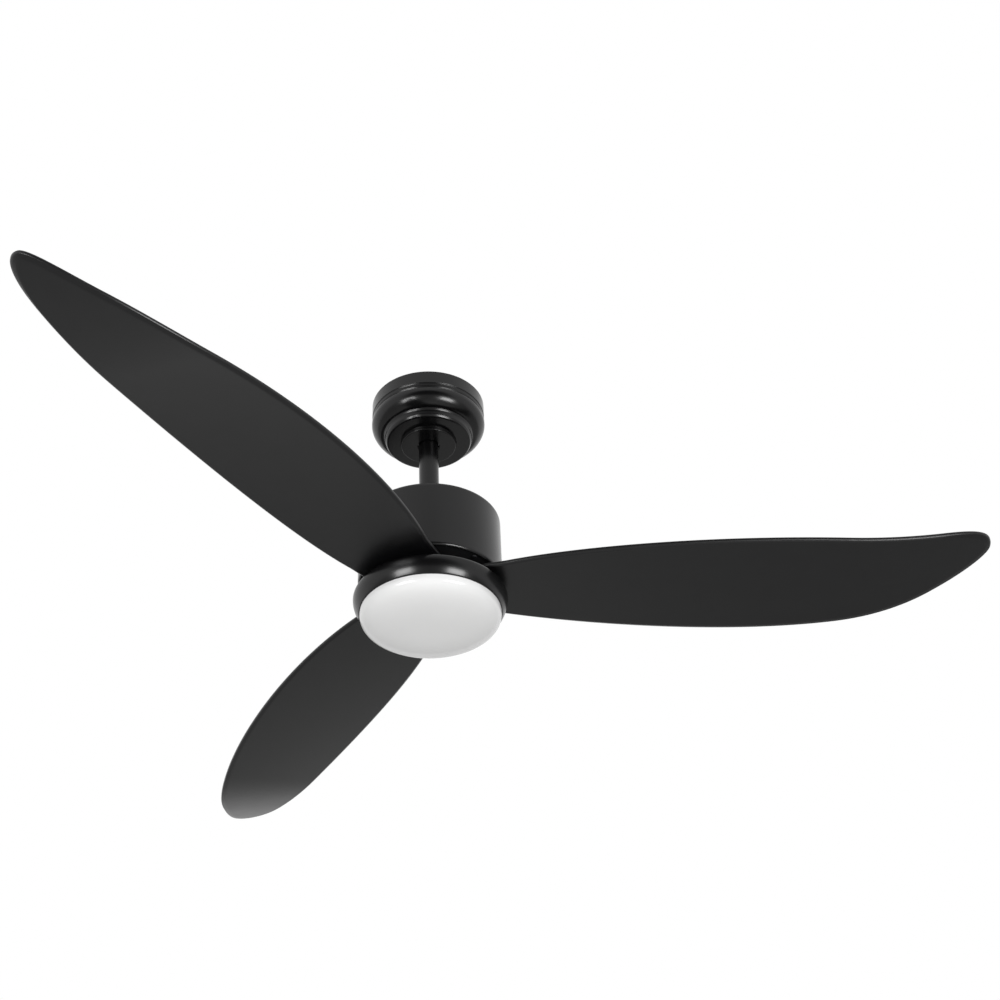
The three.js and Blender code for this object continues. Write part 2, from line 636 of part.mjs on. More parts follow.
/** Motor shaft: hollow for the wires, flanged at the top, thick in the middle, stepped below. */
function motorShaft() {
  const flangeRadius = YOKE_FLANGE_RADIUS - 2;
  const coreTop = upperBearingBottom - SEAT_GAP;
  const coreBottom = lowerBearingTop + SEAT_GAP;
  const end = shaftShoulder - SHAFT_END_LENGTH;
  const body = revolve([
    point(SHAFT_BORE, end),
    point(SHAFT_END_RADIUS, end),
    point(SHAFT_END_RADIUS, shaftShoulder),
    point(SHAFT_RADIUS, shaftShoulder),
    point(SHAFT_RADIUS, coreBottom),
    point(SHAFT_CORE_RADIUS, coreBottom),
    point(SHAFT_CORE_RADIUS, coreTop),
    point(SHAFT_RADIUS, coreTop),
    point(SHAFT_RADIUS, shaftNeck),
    point(flangeRadius, shaftNeck),
    point(flangeRadius, shaftTop),
    point(SHAFT_BORE, shaftTop),
  ], COARSE);
  const screwHole = SCREW.shank + SCREW_HOLE_PLAY;
  return shape(body, {
    cut: around(3, housingScrewReach, 90).map(([x, y]) => bar(screwHole, shaftNeck - 1, shaftTop + 1, x, y)),
  });
}

const slotPitch = (2 * Math.PI) / STATOR_TEETH;
const stackTop = stackMiddle + STATOR_STACK / 2;
const stackBottom = stackMiddle - STATOR_STACK / 2;
const slotFloor = statorRadius - STATOR_TOOTH_LENGTH;
const toothTip = 5;                // depth of the spread tip of a tooth

/** Stator core: laminated steel with spread teeth round a hub. */
function statorCore() {
  const outline = new THREE.Shape();
  const polar = (radius, angle) => [radius * Math.cos(angle), radius * Math.sin(angle)];
  for (let i = 0; i < STATOR_TEETH; i += 1) {
    const middle = i * slotPitch;
    const stem = (radius) => Math.asin(4.5 / radius);
    const tip = slotPitch * 0.42;
    const corners = [
      [slotFloor, -stem(slotFloor)],
      [statorRadius - toothTip, -stem(statorRadius - toothTip)],
      [statorRadius - 2, -tip],
      [statorRadius, -tip],
      [statorRadius, 0],
      [statorRadius, tip],
      [statorRadius - 2, tip],
      [statorRadius - toothTip, stem(statorRadius - toothTip)],
      [slotFloor, stem(slotFloor)],
    ];
    corners.forEach(([radius, offset], k) => {
      const [x, y] = polar(radius, middle + offset);
      if (i === 0 && k === 0) {
        outline.moveTo(x, y);
      } else {
        outline.lineTo(x, y);
      }
    });
  }
  outline.closePath();
  const bore = new THREE.Path();
  bore.absarc(0, 0, SHAFT_CORE_RADIUS + SEAT_GAP, 0, 2 * Math.PI, true);
  outline.holes.push(bore);
  return plate(outline, stackBottom, stackTop, COARSE / 2);
}

/** Windings: an end ring above and below the core, joined by the bundles in the slots. */
function statorWindings() {
  const inner = slotFloor + SEAT_GAP + 1;
  const outer = statorRadius - toothTip - 2;
  const ring = (near, away) => {
    const path = new THREE.Path();
    path.moveTo(inner, near);
    path.lineTo(outer, near);
    path.quadraticCurveTo(outer, away, (inner + outer) / 2, away);
    path.quadraticCurveTo(inner, away, inner, near);
    return revolve(path.getPoints(2).slice(0, -1), STATOR_TEETH);
  };
  const upper = ring(stackTop + SEAT_GAP, stackTop + WINDING_OVERHANG);
  const lower = ring(stackBottom - SEAT_GAP, stackBottom - WINDING_OVERHANG);
  const bundles = [lower];
  for (let i = 0; i < STATOR_TEETH; i += 1) {
    const bundle = block(
      outer - inner - 8, 5, stackBottom - 2, stackTop + 2, (inner + outer) / 2 + 3,
    );
    bundles.push(bundle.rotateZ((i + 0.5) * slotPitch));
  }
  return shape(upper, { add: bundles });
}

place(hangingGroup, 'motor_housing', motorHousing(), 'darkPaint');
around(3, housingScrewReach, 90).forEach(([x, y], i) => {
  const length = YOKE_FLANGE + HOUSING_WALL + SHAFT_FLANGE + SEAT_GAP;
  const mesh = place(hangingGroup, `housing_screw_${i + 1}`, screw(SCREW, length), 'steel');
  mesh.rotation.x = Math.PI;
  mesh.position.set(x, y, yokeBottom + YOKE_FLANGE + SEAT_GAP);
});
place(hangingGroup, 'motor_shaft', motorShaft(), 'steel');
place(hangingGroup, 'stator_core', statorCore(), 'laminations');
place(hangingGroup, 'stator_windings', statorWindings(), 'copper');

// ---------------------------------------------------------------- rotor

/** Rotor cap: a bell that carries the magnets, with a bearing seat and a flange. */
function rotorCap() {
  const round = 4;
  const bell = new THREE.Path();
  bell.moveTo(BEARING_LIP_RADIUS, rotorTop);
  bell.lineTo(rotorBell - round, rotorTop);
  bell.quadraticCurveTo(rotorBell, rotorTop, rotorBell, rotorTop - round);
  bell.lineTo(rotorBell, rotorFlangeBottom + ROTOR_PLATE);
  bell.lineTo(rotorRadius, rotorFlangeBottom + ROTOR_PLATE);
  bell.lineTo(rotorRadius, rotorFlangeBottom);
  bell.lineTo(rotorInner, rotorFlangeBottom);
  bell.lineTo(rotorInner, rotorTop - ROTOR_PLATE);
  bell.lineTo(bearingSeatOuter, rotorTop - ROTOR_PLATE);
  bell.lineTo(bearingSeatOuter, upperBearingBottom - SEAT_GAP);
  bell.lineTo(bearingSeatInner, upperBearingBottom - SEAT_GAP);
  bell.lineTo(bearingSeatInner, upperBearingTop + SEAT_GAP);
  bell.lineTo(BEARING_LIP_RADIUS, upperBearingTop + SEAT_GAP);
  const hole = ROTOR_SCREW.shank + SCREW_HOLE_PLAY;
  return shape(revolve(bell.getPoints(2), MEDIUM), {
    cut: rotorScrewPlaces.map(([x, y]) => (
      bar(hole, rotorFlangeBottom - 1, rotorFlangeBottom + ROTOR_PLATE + 1, x, y)
    )),
  });
}

/** Outline shared by a blade's boss and its gasket: straight inside, round outside. */
function padOutline(clearance) {
  const outerRadius = rotorRadius - 1 - clearance;
  const halfWidth = BOSS_HALF_WIDTH - clearance;
  const angle = Math.asin(halfWidth / outerRadius);
  const outline = new THREE.Shape();
  outline.moveTo(bossInner + clearance, -halfWidth);
  outline.lineTo(outerRadius * Math.cos(angle), -halfWidth);
  outline.absarc(0, 0, outerRadius, -angle, angle, false);
  outline.lineTo(bossInner + clearance, halfWidth);
  outline.closePath();
  return outline;
}

/** Rotor base: the plate that turns the blades, with a boss for each and a bearing seat. */
function rotorBase() {
  const top = rotorBottom + ROTOR_PLATE;
  const base = revolve([
    point(BEARING_LIP_RADIUS, rotorBottom),
    point(rotorRadius, rotorBottom),
    point(rotorRadius, top),
    point(bearingSeatOuter, top),
    point(bearingSeatOuter, lowerBearingTop + SEAT_GAP),
    point(bearingSeatInner, lowerBearingTop + SEAT_GAP),
    point(bearingSeatInner, top),
    point(BEARING_LIP_RADIUS, top),
  ], MEDIUM);
  const add = [];
  const cut = [];
  const bladeHole = BLADE_SCREW.shank + SCREW_HOLE_PLAY;
  bladeAngles.forEach((angle) => {
    const turn = radians(angle);
    add.push(plate(padOutline(0), rotorBottom - BOSS_HEIGHT, rotorBottom + 0.5).rotateZ(turn));
    for (const [x, y] of bladeScrewPlaces) {
      cut.push(bar(bladeHole, rotorBottom - BOSS_HEIGHT - 1, top + 1, x, y).rotateZ(turn));
    }
  });
  for (const [x, y] of rotorScrewPlaces) {
    cut.push(bar(ROTOR_SCREW.shank + SCREW_HOLE_PLAY, rotorBottom - 1, top + 1, x, y));
  }
  return shape(base, { add, cut });
}

/** Ball bearing with a groove between its two races. */
function bearing(bottom) {
  const top = bottom + BEARING_HEIGHT;
  const bore = SHAFT_RADIUS + SEAT_GAP;
  const innerRace = bore + 2.4;
  const outerRace = BEARING_RADIUS - 2.4;
  const groove = 0.8;
  return revolve([
    point(bore, bottom),
    point(innerRace, bottom),
    point(innerRace, bottom + groove),
    point(outerRace, bottom + groove),
    point(outerRace, bottom),
    point(BEARING_RADIUS, bottom),
    point(BEARING_RADIUS, top),
    point(bore, top),
  ], COARSE);
}

/** Rubber gasket between a boss and its blade. */
function gasket() {
  const holes = bladeScrewPlaces.map(([x, y]) => (
    bar(BLADE_SCREW.shank + SCREW_HOLE_PLAY, gasketTop - GASKET_THICKNESS - 1, gasketTop + 1, x, y)
  ));
  return shape(plate(padOutline(0.5), gasketTop - GASKET_THICKNESS, gasketTop), { cut: holes });
}

const bladeAngles = [];
for (let i = 0; i < BLADE_COUNT; i += 1) {
  bladeAngles.push(PARKED_ANGLE + (360 * i) / BLADE_COUNT);
}
const bladeScrewPlaces = [
  [rotorRadius - BLADE_SCREW_INSETS[0], -BLADE_SCREW_SPREAD],
  [rotorRadius - BLADE_SCREW_INSETS[0], BLADE_SCREW_SPREAD],
  [rotorRadius - BLADE_SCREW_INSETS[1], 0],
];
const rotorScrewPlaces = around(BLADE_COUNT, rotorRadius - ROTOR_SCREW_INSET, PARKED_ANGLE + ROTOR_SCREW_ANGLE);

// ---------------------------------------------------------------- blades

const bladeTipX = Math.sqrt(SWEEP_RADIUS ** 2 - (0.32 * BLADE_WIDTH) ** 2);
const bladeSpan = bladeTipX - bladeRoot;

/** Height of the blade's middle surface over its flat root: droop, curled tip and twist. */
function bladeRise(x, y) {
  const share = Math.max(0, (x - bladeFlatEnd) / (bladeTipX - bladeFlatEnd));
  const curl = Math.max(0, (share - BLADE_CURL_START) / (1 - BLADE_CURL_START));
  const twist = Math.tan(radians(BLADE_PITCH)) * share;
  return BLADE_TIP_CURL * curl ** 2 - BLADE_DROOP * share ** 2 - twist * y;
}

/**
 * One edge of the blade from its root to its tip. The leading edge (side -1) runs nearly
 * straight, the trailing edge (side 1) bellies out and sweeps back to the rounded tip.
 */
function bladeEdge(side) {
  const at = (share, width) => point(bladeRoot + share * bladeSpan, width * BLADE_WIDTH);
  const tip = at(1, -0.32);
  const shoulder = side < 0 ? at(0.89, -0.527) : at(0.89, 0.024);
  const root = point(bladeRoot, side * (BLADE_ROOT_WIDTH / 2) - 2.4);
  const run = side < 0
    ? new THREE.CubicBezierCurve(root, at(0.2, -0.567), at(0.6, -0.597), shoulder)
    : new THREE.CubicBezierCurve(root, at(0.29, 0.603), at(0.697, 0.487), shoulder);
  const end = side < 0
    ? new THREE.CubicBezierCurve(shoulder, at(0.96, -0.51), at(1, -0.453), tip)
    : new THREE.CubicBezierCurve(shoulder, at(0.95, -0.113), at(1, -0.24), tip);
  const tongue = point(tongueStart, (side * BLADE_TONGUE_WIDTH) / 2);
  const points = [tongue, point((tongueStart + bladeRoot) / 2, (tongue.y + root.y) / 2)];
  return [...points, ...run.getPoints(14), ...end.getPoints(7).slice(1)];
}

/** Blade: rings of the outline stacked from the top face down to the bevelled underside. */
function blade() {
  const leading = bladeEdge(-1);
  const trailing = bladeEdge(1);
  const last = leading.length - 1;
  const outline = [...leading, ...trailing.slice(0, last).reverse()];
  const count = outline.length;
  const inset = (k, distance) => {
    const before = outline[(k + count - 1) % count];
    const after = outline[(k + 1) % count];
    const along = after.clone().sub(before).normalize();
    return point(outline[k].x - along.y * distance, outline[k].y + along.x * distance);
  };
  const bevel = (k) => {
    const share = THREE.MathUtils.clamp((outline[k].x - bladeRoot) / bladeSpan, 0, 1);
    const tipBlend = THREE.MathUtils.smoothstep(share, 0.88, 1);
    const wide = THREE.MathUtils.lerp(BLADE_ROOT_BEVEL, BLADE_TIP_BEVEL, share);
    return k < last ? THREE.MathUtils.lerp(BLADE_LEADING_BEVEL, wide, tipBlend) : wide;
  };
  const middle = bladeTop - BLADE_THICKNESS / 2;
  const half = BLADE_THICKNESS / 2;
  const levels = [
    { inset: () => BLADE_TOP_ROUND, height: half },
    { inset: () => 0, height: half - 0.7 * BLADE_TOP_ROUND },
    { inset: () => 0, height: half - 0.7 * BLADE_TOP_ROUND - BLADE_EDGE_HEIGHT },
    { inset: bevel, height: -half },
  ];
  const positions = [];
  const triangles = [];
  const vertex = (at, height) => {
    positions.push(at.x, at.y, middle + height + bladeRise(at.x, at.y));
    return positions.length / 3 - 1;
  };
  const rings = levels.map((level) => (
    outline.map((_, k) => vertex(inset(k, level.inset(k)), level.height))
  ));
  for (let level = 1; level < rings.length; level += 1) {
    const [upper, lower] = [rings[level - 1], rings[level]];
    for (let k = 0; k < count; k += 1) {
      const next = (k + 1) % count;
      triangles.push(lower[k], lower[next], upper[next], lower[k], upper[next], upper[k]);
    }
  }
  const face = (ring, height, facesUp) => {
    const spine = [];
    for (let i = 0; i < last; i += 1) {
      const [a, b] = [ring[i], ring[count - 1 - i]];
      const at = point((positions[3 * a] + positions[3 * b]) / 2, (positions[3 * a + 1] + positions[3 * b + 1]) / 2);
      spine.push(vertex(at, height));
    }
    const add = (a, b, c) => (facesUp ? triangles.push(a, b, c) : triangles.push(a, c, b));
    for (let i = 0; i < last - 1; i += 1) {
      add(ring[i], ring[i + 1], spine[i + 1]);
      add(ring[i], spine[i + 1], spine[i]);
      add(spine[i], spine[i + 1], ring[count - 2 - i]);
      add(spine[i], ring[count - 2 - i], ring[count - 1 - i]);
    }
    add(ring[last - 1], ring[last], spine[last - 1]);
    add(spine[last - 1], ring[last], ring[last + 1]);
    add(ring[0], spine[0], ring[count - 1]);
  };
  face(rings[0], half, true);
  face(rings[rings.length - 1], -half, false);
  const geometry = new THREE.BufferGeometry();
  geometry.setAttribute('position', new THREE.Float32BufferAttribute(positions, 3));
  geometry.setIndex(triangles);
  const hole = BLADE_SCREW.shank + SCREW_HOLE_PLAY;
  return shape(geometry, {
    cut: bladeScrewPlaces.map(([x, y]) => bar(hole, bladeBottom - 2, bladeTop + 2, x, y)),
  });
}

const rotorGroup = new THREE.Group();
fan.add(rotorGroup);
place(rotorGroup, 'rotor_cap', rotorCap(), 'castMetal');
place(rotorGroup, 'rotor_base', rotorBase(), 'castMetal');
place(rotorGroup, 'bearing_upper', bearing(upperBearingBottom), 'steel');
place(rotorGroup, 'bearing_lower', bearing(lowerBearingBottom), 'steel');
const magnetBottom = stackBottom - MAGNET_OVERHANG;
const magnetTop = stackTop + MAGNET_OVERHANG;
place(rotorGroup, 'magnet_ring', tube(magnetOuter, magnetInner, magnetBottom, magnetTop, MEDIUM), 'magnet');
placeScrews(
  rotorGroup, 'rotor_screw', rotorScrewPlaces, rotorBottom - SEAT_GAP, ROTOR_SCREW,
  2 * ROTOR_PLATE, 'blackScrew',
);
bladeAngles.forEach((angle, i) => {
  const arm = new THREE.Group();
  arm.rotation.z = radians(angle);
  rotorGroup.add(arm);
  const screwLength = BLADE_THICKNESS + GASKET_THICKNESS + BOSS_HEIGHT + ROTOR_PLATE;
  place(arm, `blade_gasket_${i + 1}`, gasket(), 'rubber');
  place(arm, `blade_${i + 1}`, blade(), 'bladePlastic');
  placeScrews(
    arm, `blade_screw_${i + 1}`, bladeScrewPlaces, bladeBottom - SEAT_GAP, BLADE_SCREW,
    screwLength, 'blackScrew',
  );
});

// ---------------------------------------------------------------- light

/** Light ring: a cup under the blades with a ledge for the board and a lip for the diffuser. */
function lightRing() {
  const roof = ringRoofBottom;
  const centreHole = NUT_RADIUS + 0.8;
  const widest = ringTop - RING_WIDEST_DROP;
  const ring = new THREE.Path();
  ring.moveTo(centreHole, ringTop);
  ring.lineTo(ringTopRadius - 1, ringTop);
  ring.quadraticCurveTo(ringRadius - 0.6, ringTop - 0.6, ringRadius, widest);
  ring.bezierCurveTo(
    ringRadius + 0.2, widest - 5, ringBottomRadius + 1.2, ringBottom + 7,
    ringBottomRadius, ringBottom,
  );
  ring.lineTo(ringLipRadius, ringBottom);
  ring.lineTo(ringLipRadius, ringBottom + RING_LIP);
  ring.lineTo(ringBottomRadius - RING_WALL + 1, ringBottom + RING_LIP + 0.6);
  ring.lineTo(ringBottomRadius - RING_WALL + 2, ledgeTop - RING_LEDGE);
  ring.lineTo(ledgeRadius, ledgeTop - RING_LEDGE);
  ring.lineTo(ledgeRadius, ledgeTop);
  ring.lineTo(ringBottomRadius - RING_WALL + 2.4, ledgeTop);
  ring.lineTo(ringRadius - RING_WALL, widest);
  ring.lineTo(ringTopRadius - RING_WALL, roof);
  ring.lineTo(centreHole, roof);
  const cut = around(3, lightScrewReach, 30).map(([x, y]) => (
    bar(SCREW.shank + SCREW_HOLE_PLAY, roof - 1, ringTop + 1, x, y)
  ));
  for (const [x, y] of around(3, boardScrewReach, 0)) {
    cut.push(bar(BOARD_SCREW.shank + SCREW_HOLE_PLAY, ledgeTop - RING_LEDGE - 1, ledgeTop + 1, x, y));
  }
  return shape(revolve(ring.getPoints(3), FINE), { cut });
}

/** Plate on the shaft's lower end that the light hangs from. */
function lightPlate() {
  const disc = tube(lightPlateRadius, SHAFT_END_RADIUS + SEAT_GAP, lightPlateBottom, lightPlateTop, MEDIUM);
  return shape(disc, {
    cut: around(3, lightScrewReach, 30).map(([x, y]) => (
      bar(SCREW.shank + SCREW_HOLE_PLAY, lightPlateBottom - 1, lightPlateTop + 1, x, y)
    )),
  });
}

/** Hexagonal nut that holds the plate on the shaft. */
function shaftNut() {
  const top = lightPlateBottom - SEAT_GAP;
  const body = bar(NUT_RADIUS, top - NUT_HEIGHT, top, 0, 0, 6);
  return shape(body, { cut: [bar(SHAFT_END_RADIUS + SEAT_GAP, top - NUT_HEIGHT - 1, top + 1, 0, 0, COARSE)] });
}

/** Round board for the light's diodes, screwed up under the ring's ledge. */
function ledBoard() {
  const disc = revolve([
    point(0, boardTop - BOARD_THICKNESS),
    point(boardRadius, boardTop - BOARD_THICKNESS),
    point(boardRadius, boardTop),
    point(0, boardTop),
  ], MEDIUM);
  return shape(disc, {
    cut: around(3, boardScrewReach, 0).map(([x, y]) => (
      bar(BOARD_SCREW.shank + SCREW_HOLE_PLAY, boardTop - BOARD_THICKNESS - 1, boardTop + 1, x, y)
    )),
  });
}

/** Opal diffuser: a flat-bottomed dome with a collar that snaps over the ring's lip. */
function diffuser() {
  const power = 2 / DIFFUSER_SQUARENESS;
  const dome = (radius, depth, top, steps) => {
    const points = [];
    for (let i = 0; i <= steps; i += 1) {
      const angle = (i / steps) * (Math.PI / 2);
      points.push(point(radius * Math.cos(angle) ** power, top - depth * Math.sin(angle) ** power));
    }
    points[steps].x = 0;
    return points;
  };
  const collar = ringLipRadius - SEAT_GAP;
  const bead = ringBottomRadius - RING_WALL + 0.3;
  const collarTop = diffuserTop + DIFFUSER_COLLAR;
  const lipTop = ringBottom + RING_LIP + 0.6 + SEAT_GAP;
  const inside = dome(collar - DIFFUSER_WALL, DIFFUSER_DEPTH - DIFFUSER_WALL, diffuserTop, 4);
  return revolve([
    ...inside.reverse(),
    point(collar - DIFFUSER_WALL, collarTop),
    point(collar, collarTop),
    point(bead, lipTop + 0.5),
    point(bead, lipTop),
    point(collar, lipTop),
    point(collar, diffuserTop),
    ...dome(diffuserRadius, DIFFUSER_DEPTH, diffuserTop, 8),
  ], FINE);
}

place(hangingGroup, 'light_plate', lightPlate(), 'zinc');
place(hangingGroup, 'shaft_nut', shaftNut(), 'zinc');
placeScrews(
  hangingGroup, 'light_screw', around(3, lightScrewReach, 30), ringRoofBottom - SEAT_GAP,
  SCREW, RING_ROOF + LIGHT_PLATE + 2 * SEAT_GAP, 'zinc',
);
place(hangingGroup, 'light_ring', lightRing(), 'darkPaint');
const driverTop = ringRoofBottom - SEAT_GAP;
const driverReach = ledgeRadius - DRIVER_INSET;
place(
  hangingGroup, 'led_driver',
  block(DRIVER_SIZE.x, DRIVER_SIZE.y, driverTop - DRIVER_SIZE.z, driverTop, 0, driverReach), 'driverCase',
);
place(hangingGroup, 'led_board', ledBoard(), 'board');
placeScrews(
  hangingGroup, 'board_screw', around(3, boardScrewReach, 0), boardTop - BOARD_THICKNESS - SEAT_GAP,
  BOARD_SCREW, BOARD_THICKNESS + RING_LEDGE + SEAT_GAP, 'steel',
);
place(hangingGroup, 'diffuser', diffuser(), 'opal');

export default fan;
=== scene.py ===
import math

import bpy
from mathutils import Matrix, Vector
from mathutils.geometry import interpolate_bezier


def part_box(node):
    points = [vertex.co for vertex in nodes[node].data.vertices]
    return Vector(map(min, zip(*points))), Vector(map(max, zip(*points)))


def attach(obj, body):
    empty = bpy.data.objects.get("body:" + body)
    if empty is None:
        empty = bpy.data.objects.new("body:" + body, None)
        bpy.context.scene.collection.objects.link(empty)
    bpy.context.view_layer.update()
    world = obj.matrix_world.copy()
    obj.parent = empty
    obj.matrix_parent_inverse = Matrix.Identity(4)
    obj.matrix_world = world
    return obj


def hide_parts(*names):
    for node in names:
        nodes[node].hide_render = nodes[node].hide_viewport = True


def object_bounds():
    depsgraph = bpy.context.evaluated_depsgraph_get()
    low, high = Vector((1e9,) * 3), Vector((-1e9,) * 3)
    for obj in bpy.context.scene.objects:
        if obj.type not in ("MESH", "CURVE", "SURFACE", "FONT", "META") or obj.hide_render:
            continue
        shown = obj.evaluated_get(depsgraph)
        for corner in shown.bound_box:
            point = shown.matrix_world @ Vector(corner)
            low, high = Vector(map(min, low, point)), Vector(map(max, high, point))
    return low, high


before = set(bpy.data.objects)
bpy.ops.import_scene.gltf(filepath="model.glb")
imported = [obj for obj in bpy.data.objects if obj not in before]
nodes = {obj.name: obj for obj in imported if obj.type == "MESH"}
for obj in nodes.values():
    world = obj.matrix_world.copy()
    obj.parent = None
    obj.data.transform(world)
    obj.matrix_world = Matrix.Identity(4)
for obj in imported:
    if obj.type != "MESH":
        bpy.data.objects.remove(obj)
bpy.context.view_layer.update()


# ---------------------------------------------------------------- hanger bracket
# A strip of zinc-plated steel, pressed and folded, that is screwed up to the ceiling box. Its
# two legs carry the open seat that the ball drops into.

MM = 0.001


class Value:
    """A node's output that sums can be written on. Each sum adds one Math node."""

    def __init__(self, graph, socket):
        self.graph = graph
        self.socket = socket

    def sum(self, operation, *values):
        return self.graph.node("ShaderNodeMath", {"operation": operation}, dict(enumerate(values)))

    def __add__(self, other):
        return self.sum("ADD", self, other)

    def __sub__(self, other):
        return self.sum("SUBTRACT", self, other)

    def __rsub__(self, other):
        return self.sum("SUBTRACT", other, self)

    def __mul__(self, other):
        return self.sum("MULTIPLY", self, other)

    def __truediv__(self, other):
        return self.sum("DIVIDE", self, other)

    def at_least(self, other):
        return self.sum("MAXIMUM", self, other)

    def at_most(self, other):
        return self.sum("MINIMUM", self, other)

    def tangent(self):
        return self.sum("TANGENT", self)

    __radd__ = __add__
    __rmul__ = __mul__


class Graph:
    """A node tree that nodes are added to through one method."""

    def __init__(self, tree):
        self.tree = tree
        tree.nodes.clear()

    def node(self, kind, settings=None, sockets=None, *outputs):
        """Adds a node: first its settings, then its sockets. Returns the outputs asked for."""
        made = self.tree.nodes.new(kind)
        for name, setting in (settings or {}).items():
            setattr(made, name, setting)
        for name, value in (sockets or {}).items():
            if isinstance(value, Value):
                self.tree.links.new(value.socket, made.inputs[name])
            else:
                made.inputs[name].default_value = value
        if not outputs:
            return Value(self, made.outputs[0]) if made.outputs else None
        found = [Value(self, made.outputs[name]) for name in outputs]
        return found[0] if len(found) == 1 else found


def tint(red, green, blue):
    """A colour written as screen values from 0 to 255, as the shader wants it."""
    screen = [channel / 255 for channel in (red, green, blue)]
    return (*(v / 12.92 if v <= 0.04045 else ((v + 0.055) / 1.055) ** 2.4 for v in screen), 1)


class Finish(Graph):
    """A material whose pattern follows the piece's own Object coordinates."""

    def __init__(self, name):
        self.material = bpy.data.materials.new(name)
        self.material.use_nodes = True
        super().__init__(self.material.node_tree)
        self.where = self.node("ShaderNodeTexCoord", {}, {}, "Object")

    def stretched(self, x, y, z):
        """The coordinates with the pattern drawn out or squeezed along each axis."""
        return self.node("ShaderNodeMapping", {}, {"Vector": self.where, "Scale": (x, y, z)})

    def noise(self, size, detail=2, where=None):
        """Soft patches of about that size in millimetres, from 0 to 1."""
        sockets = {"Vector": where or self.where, "Scale": 1 / (size * MM), "Detail": detail}
        return self.node("ShaderNodeTexNoise", {}, sockets, "Fac")

    def blend(self, share, colour, other):
        """Goes from one colour to the other as share goes from 0 to 1."""
        return self.node(
            "ShaderNodeMix", {"data_type": "RGBA"},
            {"Factor": share, 6: colour, 7: other}, 2,
        )

    def bump(self, height, depth):
        """A surface raised by height, from 0 to 1, times a depth in millimetres."""
        return self.node(
            "ShaderNodeBump", {}, {"Height": height, "Distance": depth * MM, "Strength": 1},
        )

    def surface(self, sockets):
        """Ends the material in a shader with these sockets and returns the material."""
        shader = self.node("ShaderNodeBsdfPrincipled", {}, sockets)
        self.node("ShaderNodeOutputMaterial", {}, {"Surface": shader})
        return self.material


def dress(material, *names):
    """Puts a material on CAD nodes."""
    for name in names:
        for slot in nodes[name].material_slots:
            slot.material = material


plating = Finish("zinc")
cloud = plating.noise(9, 3)
grain = plating.noise(0.8, 2)
zinc = plating.surface({
    "Base Color": plating.blend(cloud, tint(158, 162, 170), tint(190, 190, 184)),
    "Metallic": 1,
    "Roughness": 0.3 + 0.22 * cloud,
    "Normal": plating.bump(grain, 0.02),
})
dress(zinc, "hanger_bracket")


# ---------------------------------------------------------------- receiver
# The remote control's receiver: a white moulded box that slides in over the ball, between
# the bracket's legs.

moulding = Finish("white_plastic")
spark = moulding.noise(0.5, 2)
white_plastic = moulding.surface({
    "Base Color": moulding.blend(moulding.noise(20), tint(226, 224, 218), tint(236, 234, 229)),
    "Roughness": 0.42 + 0.12 * spark,
    "Normal": moulding.bump(spark, 0.02),
})
dress(white_plastic, "receiver")


# ---------------------------------------------------------------- hanger ball and its pin
# The ball is moulded nylon, cut flat above and below, and slides down over the rod. A steel
# pin through ball and rod keeps it on.

nylon = Finish("black_plastic")
swirl = nylon.noise(6, 4)
black_plastic = nylon.surface({
    "Base Color": nylon.blend(swirl, tint(30, 31, 32), tint(42, 43, 45)),
    "Roughness": 0.45 + 0.15 * swirl,
    "Normal": nylon.bump(nylon.noise(0.6), 0.03),
})
dress(black_plastic, "hanger_ball")

ground = Finish("steel")
scratches = ground.noise(1.2, 3, ground.stretched(1, 1, 9))
steel = ground.surface({
    "Base Color": ground.blend(scratches, tint(138, 141, 146), tint(168, 170, 173)),
    "Metallic": 1,
    "Roughness": 0.24 + 0.2 * scratches,
    "Normal": ground.bump(scratches, 0.006),
})
dress(steel, "ball_pin")


# ---------------------------------------------------------------- downrod
# A length of drawn steel tube with a cross hole near each end, painted satin charcoal. The
# same paint covers every turned or spun part that shows.


def rounded(corners, steps=6, shoulder=0.3):
    """Rounds the corners of a closed profile of (radius, height, rounding), in millimetres."""
    points = []
    for k, (x, y, rounding) in enumerate(corners):
        here = Vector((x, y))
        if not rounding:
            points.append(here)
            continue
        before = Vector(corners[k - 1][:2]) - here
        after = Vector(corners[(k + 1) % len(corners)][:2]) - here
        reach = rounding / math.tan(before.angle(after) / 2)
        start = here + before.normalized() * reach
        end = here + after.normalized() * reach
        if before.length > 3 * reach + shoulder:
            points.append(start + before.normalized() * shoulder)
        for step in range(steps + 1):
            t = step / steps
            points.append(start * (1 - t) ** 2 + here * 2 * t * (1 - t) + end * t ** 2)
        if after.length > 3 * reach + shoulder:
            points.append(end + after.normalized() * shoulder)
    return points


def smooth(mesh, angle=32):
    """Shades a mesh smooth, but for the edges that turn by more than an angle."""
    mesh.shade_smooth()
    mesh.set_sharp_from_angle(angle=math.radians(angle))


def added(name, mesh):
    """A new object in the scene with that mesh."""
    piece = bpy.data.objects.new(name, mesh)
    bpy.context.scene.collection.objects.link(piece)
    return piece


